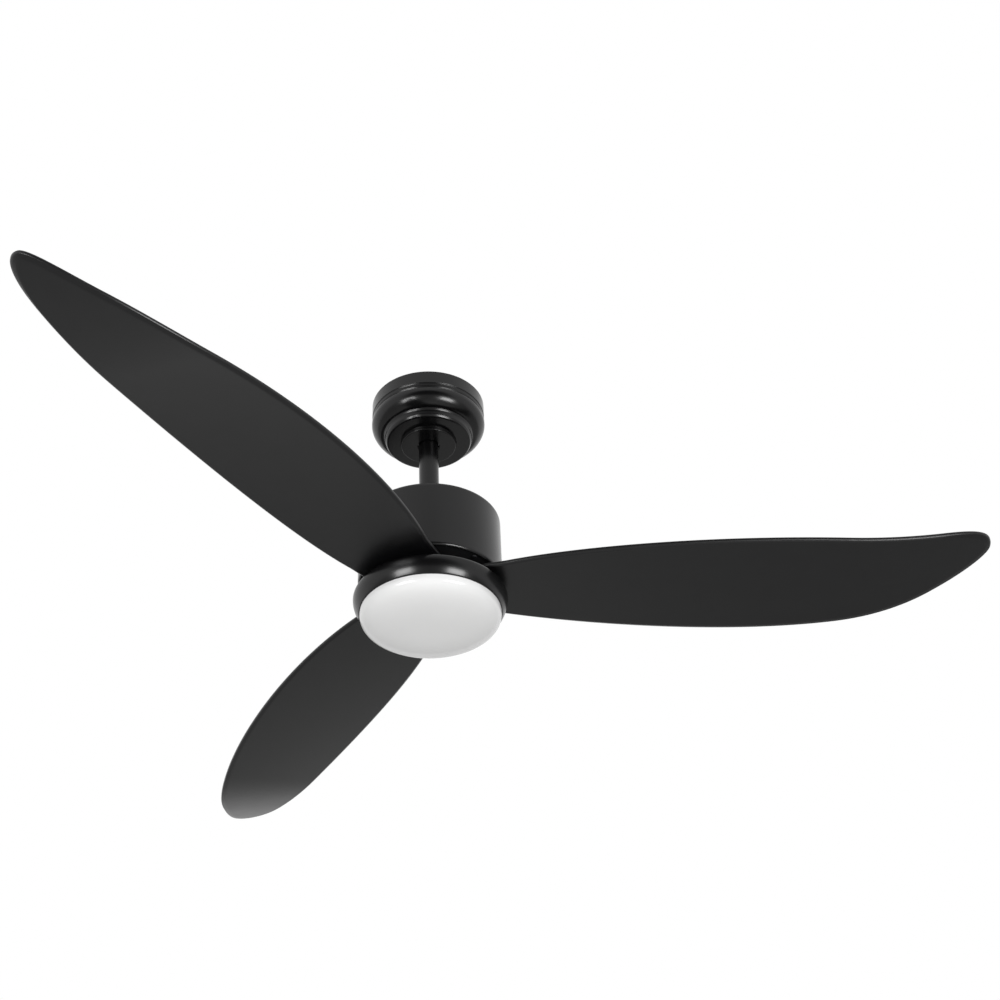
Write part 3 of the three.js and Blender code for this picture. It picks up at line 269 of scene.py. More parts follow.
def turned(name, profile, facets=160):
    """Spins a closed profile of (radius, height) about Z. Points on the axis close a pole."""
    area = sum(
        a[0] * b[1] - b[0] * a[1] for a, b in zip(profile, [*profile[1:], profile[0]])
    )
    ordered = profile if area > 0 else profile[::-1]
    vertices = []
    rings = []
    for radius, height in ordered:
        if radius < 1e-6:
            rings.append([len(vertices)] * facets)
            vertices.append((0, 0, height * MM))
            continue
        rings.append(range(len(vertices), len(vertices) + facets))
        for k in range(facets):
            angle = 2 * math.pi * k / facets
            x, y = radius * math.cos(angle), radius * math.sin(angle)
            vertices.append((x * MM, y * MM, height * MM))
    faces = []
    for lower, upper in zip(rings, [*rings[1:], rings[0]]):
        for k in range(facets):
            n = (k + 1) % facets
            face = list(dict.fromkeys((lower[k], lower[n], upper[n], upper[k])))
            if len(face) > 2:
                faces.append(face)
    mesh = bpy.data.meshes.new(name)
    mesh.from_pydata(vertices, [], faces)
    smooth(mesh)
    return added(name, mesh)


def settled(piece):
    """Turns an object with live modifiers into a plain mesh under the same name."""
    graph = bpy.context.evaluated_depsgraph_get()
    mesh = bpy.data.meshes.new_from_object(piece.evaluated_get(graph))
    piece.modifiers.clear()
    piece.data = mesh
    smooth(mesh)
    return piece


def drilled(piece, *cutters):
    """Cuts the cutters out of a piece and throws them away."""
    for cutter in cutters:
        cut = piece.modifiers.new("cut", "BOOLEAN")
        cut.operation = "DIFFERENCE"
        cut.solver = "EXACT"
        cut.object = cutter
    settled(piece)
    for cutter in cutters:
        bpy.data.objects.remove(cutter)
    return piece


def drill(radius, length, place, axis="Z", facets=32):
    """A round cutter of a radius and length in millimetres, centred on a place in metres."""
    end = length / 2
    cutter = turned("drill", [(0, -end), (radius, -end), (radius, end), (0, end)], facets)
    if axis == "X":
        cutter.data.transform(Matrix.Rotation(math.pi / 2, 4, "Y"))
    cutter.data.transform(Matrix.Translation(place))
    return cutter


def finished(piece, body, slot, material, *replaced):
    """Gives a piece its material and body, and puts it in its CAD nodes' place. Its slot is not
    used.
    """
    piece.data.materials.clear()
    piece.data.materials.append(material)
    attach(piece, body)
    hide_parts(*replaced)


def extent(node):
    """A round node's greatest radius, bottom and top, in millimetres."""
    low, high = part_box(node)
    return high.x / MM, low.z / MM, high.z / MM


def centre(node):
    """The middle of a node's box, in metres."""
    low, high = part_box(node)
    return (low + high) / 2


coat = Finish("dark_paint")
mottle = coat.noise(34, 3)
orange_peel = coat.noise(1.4, 2)
dark_paint = coat.surface({
    "Base Color": coat.blend(mottle, tint(5, 5, 6), tint(9, 9, 9)),
    "Roughness": 0.2 + 0.05 * mottle,
    "Specular IOR Level": 0.36,
    "Normal": coat.bump(orange_peel, 0.004),
})

rod_radius, rod_bottom, rod_top = extent("downrod")
rod_wall = 1.75
rod_bore = rod_radius - rod_wall
rod = turned("downrod_tube", rounded([
    (rod_bore, rod_bottom, 0.4),
    (rod_radius, rod_bottom, 0.5),
    (rod_radius, rod_top, 0.5),
    (rod_bore, rod_top, 0.4),
]), 96)
pin_radius = 3.5
pin_play = 0.3
drilled(rod, *(
    drill(pin_radius + pin_play, 4 * rod_radius, (0, 0, centre(pin).z), "X")
    for pin in ("ball_pin", "yoke_pin")
))
finished(rod, "hanging", "dark_paint", dark_paint, "downrod")


# ---------------------------------------------------------------- canopy
# A spun steel cup: a plain band against the ceiling, two rolled beads, a bulge that turns in
# through an ogee to a step ring, and a flat floor. Two screws hold it up to the bracket.

canopy_radius, canopy_bottom, canopy_top = extent("canopy")
band = canopy_radius - 0.4
beads_top = canopy_top - 17.6
bulge_top = beads_top - 7.4
step_radius = 54.6
floor_radius = 49.5
step_top = canopy_bottom + 11.9
rod_hole = rod_radius + 1.85
sheet = 1.2


def curve(*handles, steps=14):
    """The points of one cubic curve through a profile, without its first point."""
    flat = [Vector((x, y, 0)) for x, y in handles]
    return [point.xy for point in interpolate_bezier(*flat, steps + 1)[1:]]


def flank(start, length):
    """A straight rolled edge that slopes in and down, with its shading held at both ends."""
    slope = Vector((-0.52, -0.86)) * length
    return [Vector(start) + slope * share for share in (0, 0.1, 0.9, 1)]


def screw_hole(node, radius, height, length=6):
    """A cutter on the axis of a screw's node, centred on a height in millimetres."""
    return drill(radius, length, (*centre(node).xy, height * MM))


def numbered(prefix, count):
    """The names of a row of like nodes."""
    return [f"{prefix}_{k + 1}" for k in range(count)]


bulge_edge = (band - 2.6, bulge_top - 0.4)
outside = [
    (band, canopy_top),
    (band, beads_top + 0.2),
    (band - 0.15, beads_top),
    (band - 1.3, beads_top - 0.3),
    (band - 0.2, beads_top - 0.5),
    *flank((band, beads_top - 0.7), 1.3),
    (band - 0.75, beads_top - 2.2),
    (band - 0.8, beads_top - 4.9),
    *flank((band - 0.9, beads_top - 5.2), 2),
    (band - 2.3, bulge_top + 0.3),
    (band - 3.4, bulge_top),
    bulge_edge,
]
outside += curve(
    bulge_edge, (band - 0.4, bulge_top - 0.5),
    (canopy_radius, bulge_top - 1.2), (canopy_radius, bulge_top - 3), steps=12,
)
bulge_foot = (step_radius + 7.2, step_top + 0.3)
outside += curve(
    (canopy_radius, bulge_top - 5.2), (canopy_radius, bulge_top - 9.6),
    (canopy_radius - 4, step_top + 3.4), bulge_foot, steps=36,
)
cove_end = (step_radius + 2.4, step_top - 1)
outside += curve(
    bulge_foot, (step_radius + 5.6, step_top - 0.7), (step_radius + 4.4, step_top - 1),
    cove_end, steps=8,
)
outside += curve(
    cove_end, (step_radius + 1.9, step_top - 1),
    (step_radius + 1.8, step_top - 1.1), (step_radius + 1.6, step_top - 1.5), steps=8,
)
outside += [
    (step_radius + 1.4, step_top - 1.85),
    (step_radius + 0.7, step_top - 3),
    (step_radius + 0.4, step_top - 3.4),
    (step_radius - 0.2, step_top - 5),
    (step_radius - 0.4, canopy_bottom + 3.9),
    (step_radius - 0.6, canopy_bottom + 3.1),
    (step_radius - 0.8, canopy_bottom + 2.75),
    (step_radius - 2.1, canopy_bottom + 0.6),
    (step_radius - 2.3, canopy_bottom + 0.35),
    (step_radius - 3, canopy_bottom + 0.05),
    (floor_radius, canopy_bottom),
]
canopy = turned("canopy_shell", rounded([
    *((radius, height, 0) for radius, height in outside),
    (rod_hole, canopy_bottom, 0.4),
    (rod_hole, canopy_bottom + sheet, 0.4),
    (floor_radius + 0.6, canopy_bottom + sheet, 0.8),
    (step_radius - 2.6, canopy_bottom + 2.6, 0),
    (step_radius - sheet - 0.4, canopy_bottom + 4.6, 0),
    (step_radius - sheet - 0.2, step_top - 3, 0),
    (step_radius + 0.4, step_top + 1.2, 0),
    (step_radius + 4.4, step_top + 2.6, 0),
    (band - 4.4, step_top + 9, 0),
    (band - 3.6, bulge_top - 4, 0),
    (band - 4.6, bulge_top, 0),
    (band - 2.8, beads_top - 3, 0),
    (band - 2.8, canopy_top, 0),
]))
clear_hole = 2.4
canopy_screws = numbered("canopy_screw", 2)
drilled(canopy, *(
    screw_hole(node, clear_hole, canopy_bottom, length=4) for node in canopy_screws
))
finished(canopy, "ceiling", "dark_paint", dark_paint, "canopy")


# ---------------------------------------------------------------- screws
# Pan-head screws with a cross recess, rolled from wire. Each stops at its own turn. Those in
# the canopy are zinc plated; the heads that can be seen under the motor are blackened.


def screw_blank(shank, head, height, length):
    """One screw of these sizes in millimetres: its seat is at 0 and its shank runs upward."""
    core = shank * 0.82
    profile = [(0, -height)]
    profile += [
        (head * math.sin(angle), -height * (0.35 + 0.65 * math.cos(angle)))
        for angle in (0.35, 0.7, 1.05, 1.35, 1.57)
    ]
    profile += [(head, 0), (core, 0)]
    threads = int(length / (shank * 0.7))
    pitch = length / (threads + 1)
    for thread in range(threads):
        profile += [
            (core, (thread + 0.45) * pitch),
            (shank, (thread + 0.75) * pitch),
            (core, (thread + 1.05) * pitch),
        ]
    profile += [(shank * 0.6, length), (0, length)]
    blank = turned("screw", profile, 20)
    wings = []
    for heading in (0, math.pi / 2):
        wing = turned("wing", [(0, -0.6), (0.56, -0.6), (0.28, 0.5), (0, 0.5)], 4)
        wing.data.transform(Matrix.Rotation(math.pi / 4, 4, "Z"))
        wing.data.transform(Matrix.Diagonal((1, 0.3, 1, 1)))
        wing.data.transform(Matrix.Rotation(heading, 4, "Z"))
        wing.data.transform(Matrix.Scale(head, 4))
        wing.data.transform(Matrix.Translation((0, 0, -height * MM)))
        wings.append(wing)
    return drilled(blank, *wings)


class Rule(Graph):
    """A Geometry Nodes tree with named inputs, which ends in one mesh of one material."""

    def __init__(self, name, **inputs):
        """Each input comes with its kind. An underscore in its name stands for a space."""
        tree = bpy.data.node_groups.new(name, "GeometryNodeTree")
        titles = [key.replace("_", " ") for key in inputs]
        for title, kind in zip(titles, inputs.values()):
            tree.interface.new_socket(title, in_out="INPUT", socket_type="NodeSocket" + kind)
        tree.interface.new_socket("Geometry", in_out="OUTPUT", socket_type="NodeSocketGeometry")
        super().__init__(tree)
        self.inputs = self.node("NodeGroupInput", {}, {}, *titles)

    def upward(self, amount):
        """A vector that points straight up."""
        return self.node("ShaderNodeCombineXYZ", {}, {"Z": amount})

    def about_z(self, angle):
        """A turn about the upright axis."""
        return self.node("FunctionNodeEulerToRotation", {}, {"Euler": self.upward(angle)})

    def ends_in(self, geometry, finish):
        """Hands the geometry out as one plain mesh in that material."""
        solid = self.node("GeometryNodeRealizeInstances", {}, {"Geometry": geometry})
        coated = self.node(
            "GeometryNodeSetMaterial", {}, {"Geometry": solid, "Material": finish},
        )
        self.node("NodeGroupOutput", {}, {"Geometry": coated})

    def shape(self, piece, **values):
        """Runs the tree on a piece. Each value goes in by its socket's identifier."""
        modifier = piece.modifiers.new("rule", "NODES")
        modifier.node_group = self.tree
        for item in self.tree.interface.items_tree:
            key = item.name.replace(" ", "_")
            if item.in_out == "INPUT" and key in values:
                modifier[item.identifier] = values[key]
        settled(piece)


seating = Rule(
    "screws_on_seats", Geometry="Geometry", Screw="Object", Tilt="Vector", Seed="Int",
    Finish="Material",
)
seats, screw, tilt, seed, finish = seating.inputs
turn = seating.node(
    "FunctionNodeRandomValue", {"data_type": "FLOAT"}, {2: 0.0, 3: 2 * math.pi, "Seed": seed}, 1,
)
driven = seating.node("FunctionNodeRotateRotation", {"rotation_space": "LOCAL"}, {
    0: seating.node("FunctionNodeEulerToRotation", {}, {"Euler": tilt}),
    1: seating.about_z(turn),
})
seating.ends_in(seating.node("GeometryNodeInstanceOnPoints", {}, {
    "Points": seats,
    "Instance": seating.node("GeometryNodeObjectInfo", {}, {"Object": screw}, "Geometry"),
    "Rotation": driven,
}), finish)
tilts = {"down": (0, 0, 0), "up": (math.pi, 0, 0), "front": (-math.pi / 2, 0, 0)}


def screws(name, body, slot, material, replaced, shank, head, height, seed, facing="down"):
    """Fits one screw in the place of each CAD node replaced, and joins them in one mesh."""
    axis = 1 if facing == "front" else 2
    places = []
    for node in replaced:
        low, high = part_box(node)
        place = (low + high) / 2
        if facing == "up":
            place[axis] = high[axis] - height * MM
        else:
            place[axis] = low[axis] + height * MM
        places.append(place)
    length = (high[axis] - low[axis]) / MM - height
    mesh = bpy.data.meshes.new(name)
    mesh.from_pydata(places, [], [])
    piece = added(name, mesh)
    blank = screw_blank(shank, head, height, length)
    seating.shape(piece, Screw=blank, Tilt=tilts[facing], Seed=seed, Finish=material)
    bpy.data.objects.remove(blank)
    finished(piece, body, slot, material, *replaced)


screws(
    "canopy_screws", "ceiling", "zinc", zinc, canopy_screws,
    shank=2, head=4, height=2, seed=3,
)


# ---------------------------------------------------------------- canopy cover disc
# A shallow pressed cup with a sleeve round the rod. It pushes up over the canopy's screws
# and is held by the sleeve's grip alone.

disc_radius, disc_bottom, disc_top = extent("canopy_cover_disc")
disc_rim = disc_radius - 1.3
disc_bore = rod_radius + 1.55
disc = turned("canopy_cover_cup", rounded([
    (disc_bore, disc_bottom, 0.4),
    (disc_rim, disc_bottom, 1),
    (disc_radius, disc_top, 0.3),
    (disc_radius - sheet, disc_top, 0.3),
    (disc_rim - sheet, disc_bottom + sheet, 0.5),
    (disc_bore + sheet, disc_bottom + sheet, 0.5),
    (disc_bore + sheet, disc_top - 0.3, 0.3),
    (disc_bore, disc_top - 0.3, 0.3),
]))
finished(disc, "ceiling", "dark_paint", dark_paint, "canopy_cover_disc")


# ---------------------------------------------------------------- yoke, pin and clip
# The yoke is die cast and carries the whole fan on one steel pin through the rod. An R-clip
# keeps the pin in and a set screw takes up the play.

casting = Finish("cast_metal")
skin = casting.noise(1.6, 4)
flow = casting.noise(14, 3)
cast_metal = casting.surface({
    "Base Color": casting.blend(flow, tint(138, 140, 143), tint(168, 169, 170)),
    "Metallic": 0.85,
    "Roughness": 0.42 + 0.2 * skin,
    "Normal": casting.bump(skin, 0.06),
})
dress(cast_metal, "yoke")
dress(steel, "yoke_pin", "yoke_clip")
screws(
    "yoke_set_screw_turned", "hanging", "steel", steel, ["yoke_set_screw"],
    shank=2.5, head=4, height=2.4, seed=5, facing="front",
)


# ---------------------------------------------------------------- coupling cover
# A thin spun bell that slides down the rod and hides the yoke. It rests on the motor housing.

bell_radius, bell_bottom, bell_top = extent("coupling_cover")
bell_height = bell_top - bell_bottom
bell_neck = rod_radius + 0.8


def bell_side(offset):
    """The bell's curve from its rim to its neck, moved in by an offset."""
    return curve(
        (bell_radius - offset, bell_bottom + 1.5),
        (bell_radius - offset, bell_bottom + bell_height * 0.5),
        (bell_radius * 0.5 - offset, bell_top - offset),
        (bell_neck + 1, bell_top - offset),
        steps=24,
    )


bell = turned("coupling_bell", [
    (bell_radius, bell_bottom),
    *bell_side(0),
    (bell_neck, bell_top - 0.5),
    (bell_neck, bell_top - sheet),
    *reversed(bell_side(sheet)),
    (bell_radius - sheet, bell_bottom),
])
finished(bell, "hanging", "dark_paint", dark_paint, "coupling_cover")


# ---------------------------------------------------------------- motor housing
# A deep-drawn steel drum with a rounded top edge and a rolled lip at its mouth. Three screws
# through the yoke's flange clamp it to the motor shaft.

drum_radius, drum_bottom, drum_top = extent("motor_housing")
shaft_hole = 8.5
lip = 3
drum_inner = drum_radius - sheet
roll_start = drum_bottom + 3.6
rolled = curve(
    (drum_radius, roll_start), (drum_radius, drum_bottom + 1.7),
    (drum_radius - 1.3, drum_bottom), (drum_radius - 2.2, drum_bottom), steps=12,
)
drum = turned("motor_drum", rounded([
    (shaft_hole, drum_top, 0),
    (drum_radius, drum_top, 4),
    (drum_radius, roll_start, 0),
    *((radius, height, 0) for radius, height in rolled),
    (drum_radius - lip, drum_bottom, 0.4),
    (drum_radius - lip, drum_bottom + lip, 0.4),
    (drum_inner, drum_bottom + 1.5 * lip, 0.4),
    (drum_inner, drum_top - sheet, 3),
    (shaft_hole, drum_top - sheet, 0),
]))
housing_screws = numbered("housing_screw", 3)
drilled(drum, *(screw_hole(node, clear_hole, drum_top) for node in housing_screws))
finished(drum, "hanging", "dark_paint", dark_paint, "motor_housing")
screws(
    "housing_screws", "hanging", "steel", steel, housing_screws,
    shank=2, head=4, height=2, seed=8, facing="up",
)
dress(steel, "motor_shaft")


# ---------------------------------------------------------------- stator
# A stack of thin punched steel sheets pressed on the shaft. Enamelled copper wire is wound
# round its teeth and laced into an end ring above and below.

stack = Finish("lamination")
half_sheet = 0.25 * MM
level = stack.node("ShaderNodeSeparateXYZ", {}, {0: stack.where}, "Z")
sheets = level.sum("PINGPONG", level, half_sheet) / half_sheet
stain = stack.noise(7, 3)
lamination = stack.surface({
    "Base Color": stack.blend(stain, tint(84, 88, 94), tint(120, 121, 124)),
    "Metallic": 0.85,
    "Roughness": 0.4 + 0.2 * stain,
    "Normal": stack.bump(sheets, 0.05),
})
dress(lamination, "stator_core")

enamel = Finish("copper")
strands = enamel.noise(0.9, 1, enamel.stretched(1, 1, 0.12))
copper = enamel.surface({
    "Base Color": enamel.blend(strands, tint(150, 74, 34), tint(203, 121, 66)),
    "Metallic": 0.9,
    "Roughness": 0.26 + 0.2 * strands,
    "Normal": enamel.bump(strands, 0.25),
})
dress(copper, "stator_windings")


# ---------------------------------------------------------------- rotor
# A die-cast cap lined with a ring of ferrite magnets, closed below by the plate that turns
# the blades. Both castings are coloured near black, partly as painted shade: where they show
# in the gap between housing and ring, the colour makes that gap read as dark as its shade.
# The rotor spins on two ball bearings, and three black screws hold cap and plate together.

ferrite = Finish("magnet")
crystals = ferrite.noise(0.7, 4)
magnet = ferrite.surface({
    "Base Color": ferrite.blend(crystals, tint(46, 46, 48), tint(66, 66, 69)),
    "Roughness": 0.55 + 0.2 * crystals,
    "Normal": ferrite.bump(crystals, 0.05),
})
dress(magnet, "magnet_ring")

# Near-black base colour: painted shade for the dark gap between the housing and the ring.
gap_shade_finish = Finish("rotor_coat")
rotor_mottle = gap_shade_finish.noise(8, 3)
rotor_coat = gap_shade_finish.surface({
    "Base Color": gap_shade_finish.blend(rotor_mottle, tint(8, 8, 9), tint(14, 14, 15)),
    "Roughness": 0.5 + 0.15 * rotor_mottle,
    "Specular IOR Level": 0.3,
    "Normal": gap_shade_finish.bump(gap_shade_finish.noise(1.6, 4), 0.05),
})
dress(rotor_coat, "rotor_cap", "rotor_base")
dress(steel, "bearing_upper", "bearing_lower")

blacking = Finish("black_screw")
oxide = blacking.noise(0.9, 3)
black_screw = blacking.surface({
    "Base Color": blacking.blend(oxide, tint(24, 24, 26), tint(48, 48, 50)),
    "Metallic": 0.8,
    "Roughness": 0.3 + 0.2 * oxide,
    "Normal": blacking.bump(oxide, 0.02),
})
screws(
    "rotor_screws", "rotor", "black_screw", black_screw, numbered("rotor_screw", 3),
    shank=1.6, head=3.2, height=2.2, seed=11,
)


# ---------------------------------------------------------------- blades
# Three moulded blades, each with a flat tongue that a rubber gasket and three screws clamp
# under the rotor. Out from there the blade twists, droops and turns up again at its tip.

gasket_skin = Finish("rubber")
bloom = gasket_skin.noise(5, 4)
rubber = gasket_skin.surface({
    "Base Color": gasket_skin.blend(bloom, tint(22, 22, 23), tint(34, 34, 35)),
    "Roughness": 0.75 + 0.15 * bloom,
    "Normal": gasket_skin.bump(gasket_skin.noise(0.5), 0.03),
})
dress(rubber, *numbered("blade_gasket", 3))

resin = Finish("blade_plastic")
flow_lines = resin.noise(26, 3)
texture = resin.noise(0.9, 2)
blade_plastic = resin.surface({
    "Base Color": resin.blend(flow_lines, tint(5, 5, 6), tint(10, 10, 11)),
    "Roughness": 0.29 + 0.06 * flow_lines,
    "Specular IOR Level": 0.36,
    "Normal": resin.bump(texture, 0.012),
})

sweep_radius = 660
blade_width = 150
blade_root = 88
blade_flat_end = 76
tongue_start = 40
tongue_half_width = 46
blade_thickness = 5
half = blade_thickness / 2
seat_gap = 0.3
blade_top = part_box("blade_gasket_1")[0].z / MM - seat_gap
tip_lag = -0.32
tip_reach = math.sqrt(sweep_radius ** 2 - (tip_lag * blade_width) ** 2)
blade_span = tip_reach - blade_root
tongue_hole = 2.5
tongue_screws = ((52, -28), (52, 28), (72, 0))


def blade_edge(tongue_y, root_y, run, end, tongue_steps=8):
    """One edge from the tongue to the tip. The handles are shares of the span and width."""
    handles = [
        (blade_root + share * blade_span, width * blade_width) for share, width in (*run, *end)
    ]
    start = Vector((tongue_start, tongue_y))
    root = Vector((blade_root, root_y))
    points = [start.lerp(root, step / tongue_steps) for step in range(tongue_steps + 1)]
    points += curve(root, *handles[:3], steps=64)
    points += curve(*handles[2:], steps=36)
    return points


leading = blade_edge(
    -tongue_half_width, -54.9,
    [(0.2, -0.567), (0.6, -0.597), (0.89, -0.527)], [(0.96, -0.51), (1, -0.453), (1, tip_lag)],
)
trailing = blade_edge(
    tongue_half_width, 50.1,
    [(0.29, 0.603), (0.697, 0.487), (0.89, 0.024)], [(0.95, -0.113), (1, -0.24), (1, tip_lag)],
)
last = len(leading) - 1
outline = leading + trailing[last - 1::-1]
count = len(outline)


def inset(k, distance):
    """A point of the outline moved in, square to the edge."""
    along = (outline[(k + 1) % count] - outline[k - 1]).normalized()
    return outline[k] + Vector((-along.y, along.x)) * distance


def bevel_width(k, slim=2.5, at_root=3, at_tip=6.5, widens_at=0.88):
    """The underside's bevel at a point. It stays slim on the leading edge until near the tip."""
    share = min(max((outline[k].x - blade_root) / blade_span, 0), 1)
    wide = at_root + (at_tip - at_root) * share
    if k >= last:
        return wide
    late = min(max((share - widens_at) / (1 - widens_at), 0), 1)
    return slim + (wide - slim) * late ** 2 * (3 - 2 * late)


# Each row round the blank is a distance in from the edge and a height, as a share of half the
# thickness. The rounded edge comes first, then the bevel, whose rows spread with its width.
vertices = []
rings = []
clearance = 0.25
bevel_start = 1
for distance, height in (
    (1.9, 1), (1.1, 0.985), (0.5, 0.93), (clearance, 0.82), (clearance, 0.05),
    (0.35, -0.05), (0.8, -0.4), (bevel_start, -0.5),
):
    rings.append([len(vertices) + k for k in range(count)])
    vertices += [(*inset(k, distance), half * height) for k in range(count)]
for share, height in ((0.4, -0.7), (0.86, -0.94), (1.06, -1), (1.5, -1)):
    rings.append([len(vertices) + k for k in range(count)])
    vertices += [
        (*inset(k, bevel_start + share * (bevel_width(k) - 0.7)), half * height)
        for k in range(count)
    ]
faces = []
for upper, lower in zip(rings, rings[1:]):
    for k in range(count):
        n = (k + 1) % count
        faces.append((lower[k], lower[n], upper[n], upper[k]))
columns = 18
for ring, faces_up in ((rings[0], True), (rings[-1], False)):
    rows = []
    for k in range(last):
        start, end = vertices[ring[k]], vertices[ring[count - 1 - k]]
        row = [ring[k]]
        for column in range(1, columns):
            t = column / columns
            row.append(len(vertices))
            vertices.append(tuple(a + (b - a) * t for a, b in zip(start, end)))
        rows.append([*row, ring[count - 1 - k]])
    for row, following in zip(rows, rows[1:]):
        for a, b, c, d in zip(row, following, following[1:], row[1:]):
            faces.append((a, b, c, d) if faces_up else (d, c, b, a))
    for a, b in zip(rows[-1], rows[-1][1:]):
        faces.append((a, ring[last], b) if faces_up else (b, ring[last], a))
blank_mesh = bpy.data.meshes.new("blade_blank")
blank_mesh.from_pydata([(x * MM, y * MM, z * MM) for x, y, z in vertices], [], faces)
blank = added("blade_blank", blank_mesh)
drilled(blank, *(
    drill(tongue_hole, 12, (x * MM, y * MM, 0)) for x, y in tongue_screws
))

bending = Rule(
    "blade_rule", Geometry="Geometry", Flat_End="Float", Tip="Float", Pitch="Float",
    Droop="Float", Tip_Curl="Float", Curl_Start="Float", Height="Float", Turn="Float",
    Finish="Material",
)
flat, flat_end, tip, pitch, droop, tip_curl, curl_start, height, turn, finish = bending.inputs
x, y = bending.node(
    "ShaderNodeSeparateXYZ", {}, {0: bending.node("GeometryNodeInputPosition")}, "X", "Y",
)
share = ((x - flat_end) / (tip - flat_end)).at_least(0)
curl = ((share - curl_start) / (1 - curl_start)).at_least(0)
twist = pitch.tangent() * share
rise = tip_curl * curl * curl - droop * share * share - twist * y
bent = bending.node("GeometryNodeSetPosition", {}, {
    "Geometry": flat, "Offset": bending.upward(rise + height),
})
bending.ends_in(bending.node("GeometryNodeTransform", {}, {
    "Geometry": bent, "Rotation": bending.about_z(turn),
}), finish)

blade_pitch = 15.4
blade_droop = 29
tip_rise = 30
rise_start = 0.7
first_blade_angle = -0.7
for k in range(3):
    blade = added(f"blade_moulding_{k + 1}", blank.data.copy())
    bending.shape(
        blade, Flat_End=blade_flat_end * MM, Tip=tip_reach * MM,
        Pitch=math.radians(blade_pitch), Droop=blade_droop * MM, Tip_Curl=tip_rise * MM,
        Curl_Start=rise_start, Height=(blade_top - half) * MM,
        Turn=math.radians(first_blade_angle + 120 * k), Finish=blade_plastic,
    )
    finished(blade, "rotor", "blade_plastic", blade_plastic, f"blade_{k + 1}")
    screws(
        f"blade_screws_{k + 1}", "rotor", "black_screw", black_screw,
        numbered(f"blade_screw_{k + 1}", 3), shank=2.1, head=4.6, height=1.8, seed=20 + k,
    )
bpy.data.objects.remove(blank)


# ---------------------------------------------------------------- light plate and ring
# A zinc-plated plate is nutted on the shaft's end, and the light ring is screwed up under it.
# The ring is a painted pressing with a lip that the diffuser snaps over.

dress(zinc, "light_plate", "shaft_nut")
light_screws = numbered("light_screw", 3)
screws(
    "light_screws", "hanging", "zinc", zinc, light_screws,
    shank=2, head=4, height=2, seed=31,
)
ring_radius, ring_bottom, ring_top = extent("light_ring")
ring_top_radius = ring_radius - 10.9
ring_mouth = ring_radius - 6.7
widest = ring_top - 7.5
ledge_top = ring_top - 16
lip_radius = ring_mouth - 2.1
ledge_bore = 71
centre_hole = 14.3
shoulder = (ring_top_radius - 1, ring_top)
side = (ring_radius, widest)
ring = turned("light_ring_cup", [
    (centre_hole, ring_top),
    (ring_top_radius - 2.5, ring_top),
    shoulder,
    *curve(
        shoulder, (ring_top_radius + 3.4, ring_top), (ring_radius, ring_top - 2.2), side,
        steps=20,
    ),
    *curve(
        side, (ring_radius, widest - 6.5), (ring_mouth + 3.2, ring_bottom + 5),
        (ring_mouth, ring_bottom + 0.4), steps=28,
    ),
    (ring_mouth - 0.4, ring_bottom),
    (lip_radius, ring_bottom),
    (lip_radius, ring_bottom + 2.8),
    (ring_mouth - 0.8, ring_bottom + 3.4),
    (ring_mouth + 0.2, ledge_top - sheet),
    (ledge_bore, ledge_top - sheet),
    (ledge_bore, ledge_top),
    (ring_mouth + 0.4, ledge_top),
    (ring_radius - 1.8, widest),
    (ring_radius - 5.5, ring_top - 3.2),
    (ring_top_radius - 1.8, ring_top - sheet),
    (centre_hole, ring_top - sheet),
])
board_screws = numbered("board_screw", 3)
board_screw_hole = 1.4
drilled(
    ring,
    *(screw_hole(node, clear_hole, ring_top - sheet / 2) for node in light_screws),
    *(screw_hole(node, board_screw_hole, ledge_top - sheet / 2) for node in board_screws),
)
finished(ring, "hanging", "dark_paint", dark_paint, "light_ring")


# ---------------------------------------------------------------- light board
# A round aluminium board under white lacquer, screwed up under the ring's ledge, with rings of
# surface-mounted diodes. The driver sits above it in a white moulded box.

lacquer = Finish("board")
haze = lacquer.noise(12, 3)
board_white = lacquer.surface({
    "Base Color": lacquer.blend(haze, tint(232, 232, 226), tint(240, 240, 236)),
    "Roughness": 0.32 + 0.12 * haze,
    "Normal": lacquer.bump(lacquer.noise(1.1), 0.01),
})
dress(board_white, "led_board")
dress(white_plastic, "led_driver")
screws(
    "board_screws", "hanging", "steel", steel, board_screws,
    shank=1, head=2, height=1, seed=41,
)

phosphor = Finish("diode")
grains = phosphor.noise(2, 3)
diode_yellow = phosphor.surface({
    "Base Color": phosphor.blend(grains, tint(226, 190, 88), tint(238, 208, 120)),
    "Roughness": 0.35 + 0.15 * grains,
    "Normal": phosphor.bump(phosphor.noise(0.6), 0.01),
})
diode = turned("diode", [
    (0, -0.55), (1.1, -0.55), (1.35, -0.8), (1.9, -0.8), (2, -0.7), (2, 0), (0, 0),
], 4)

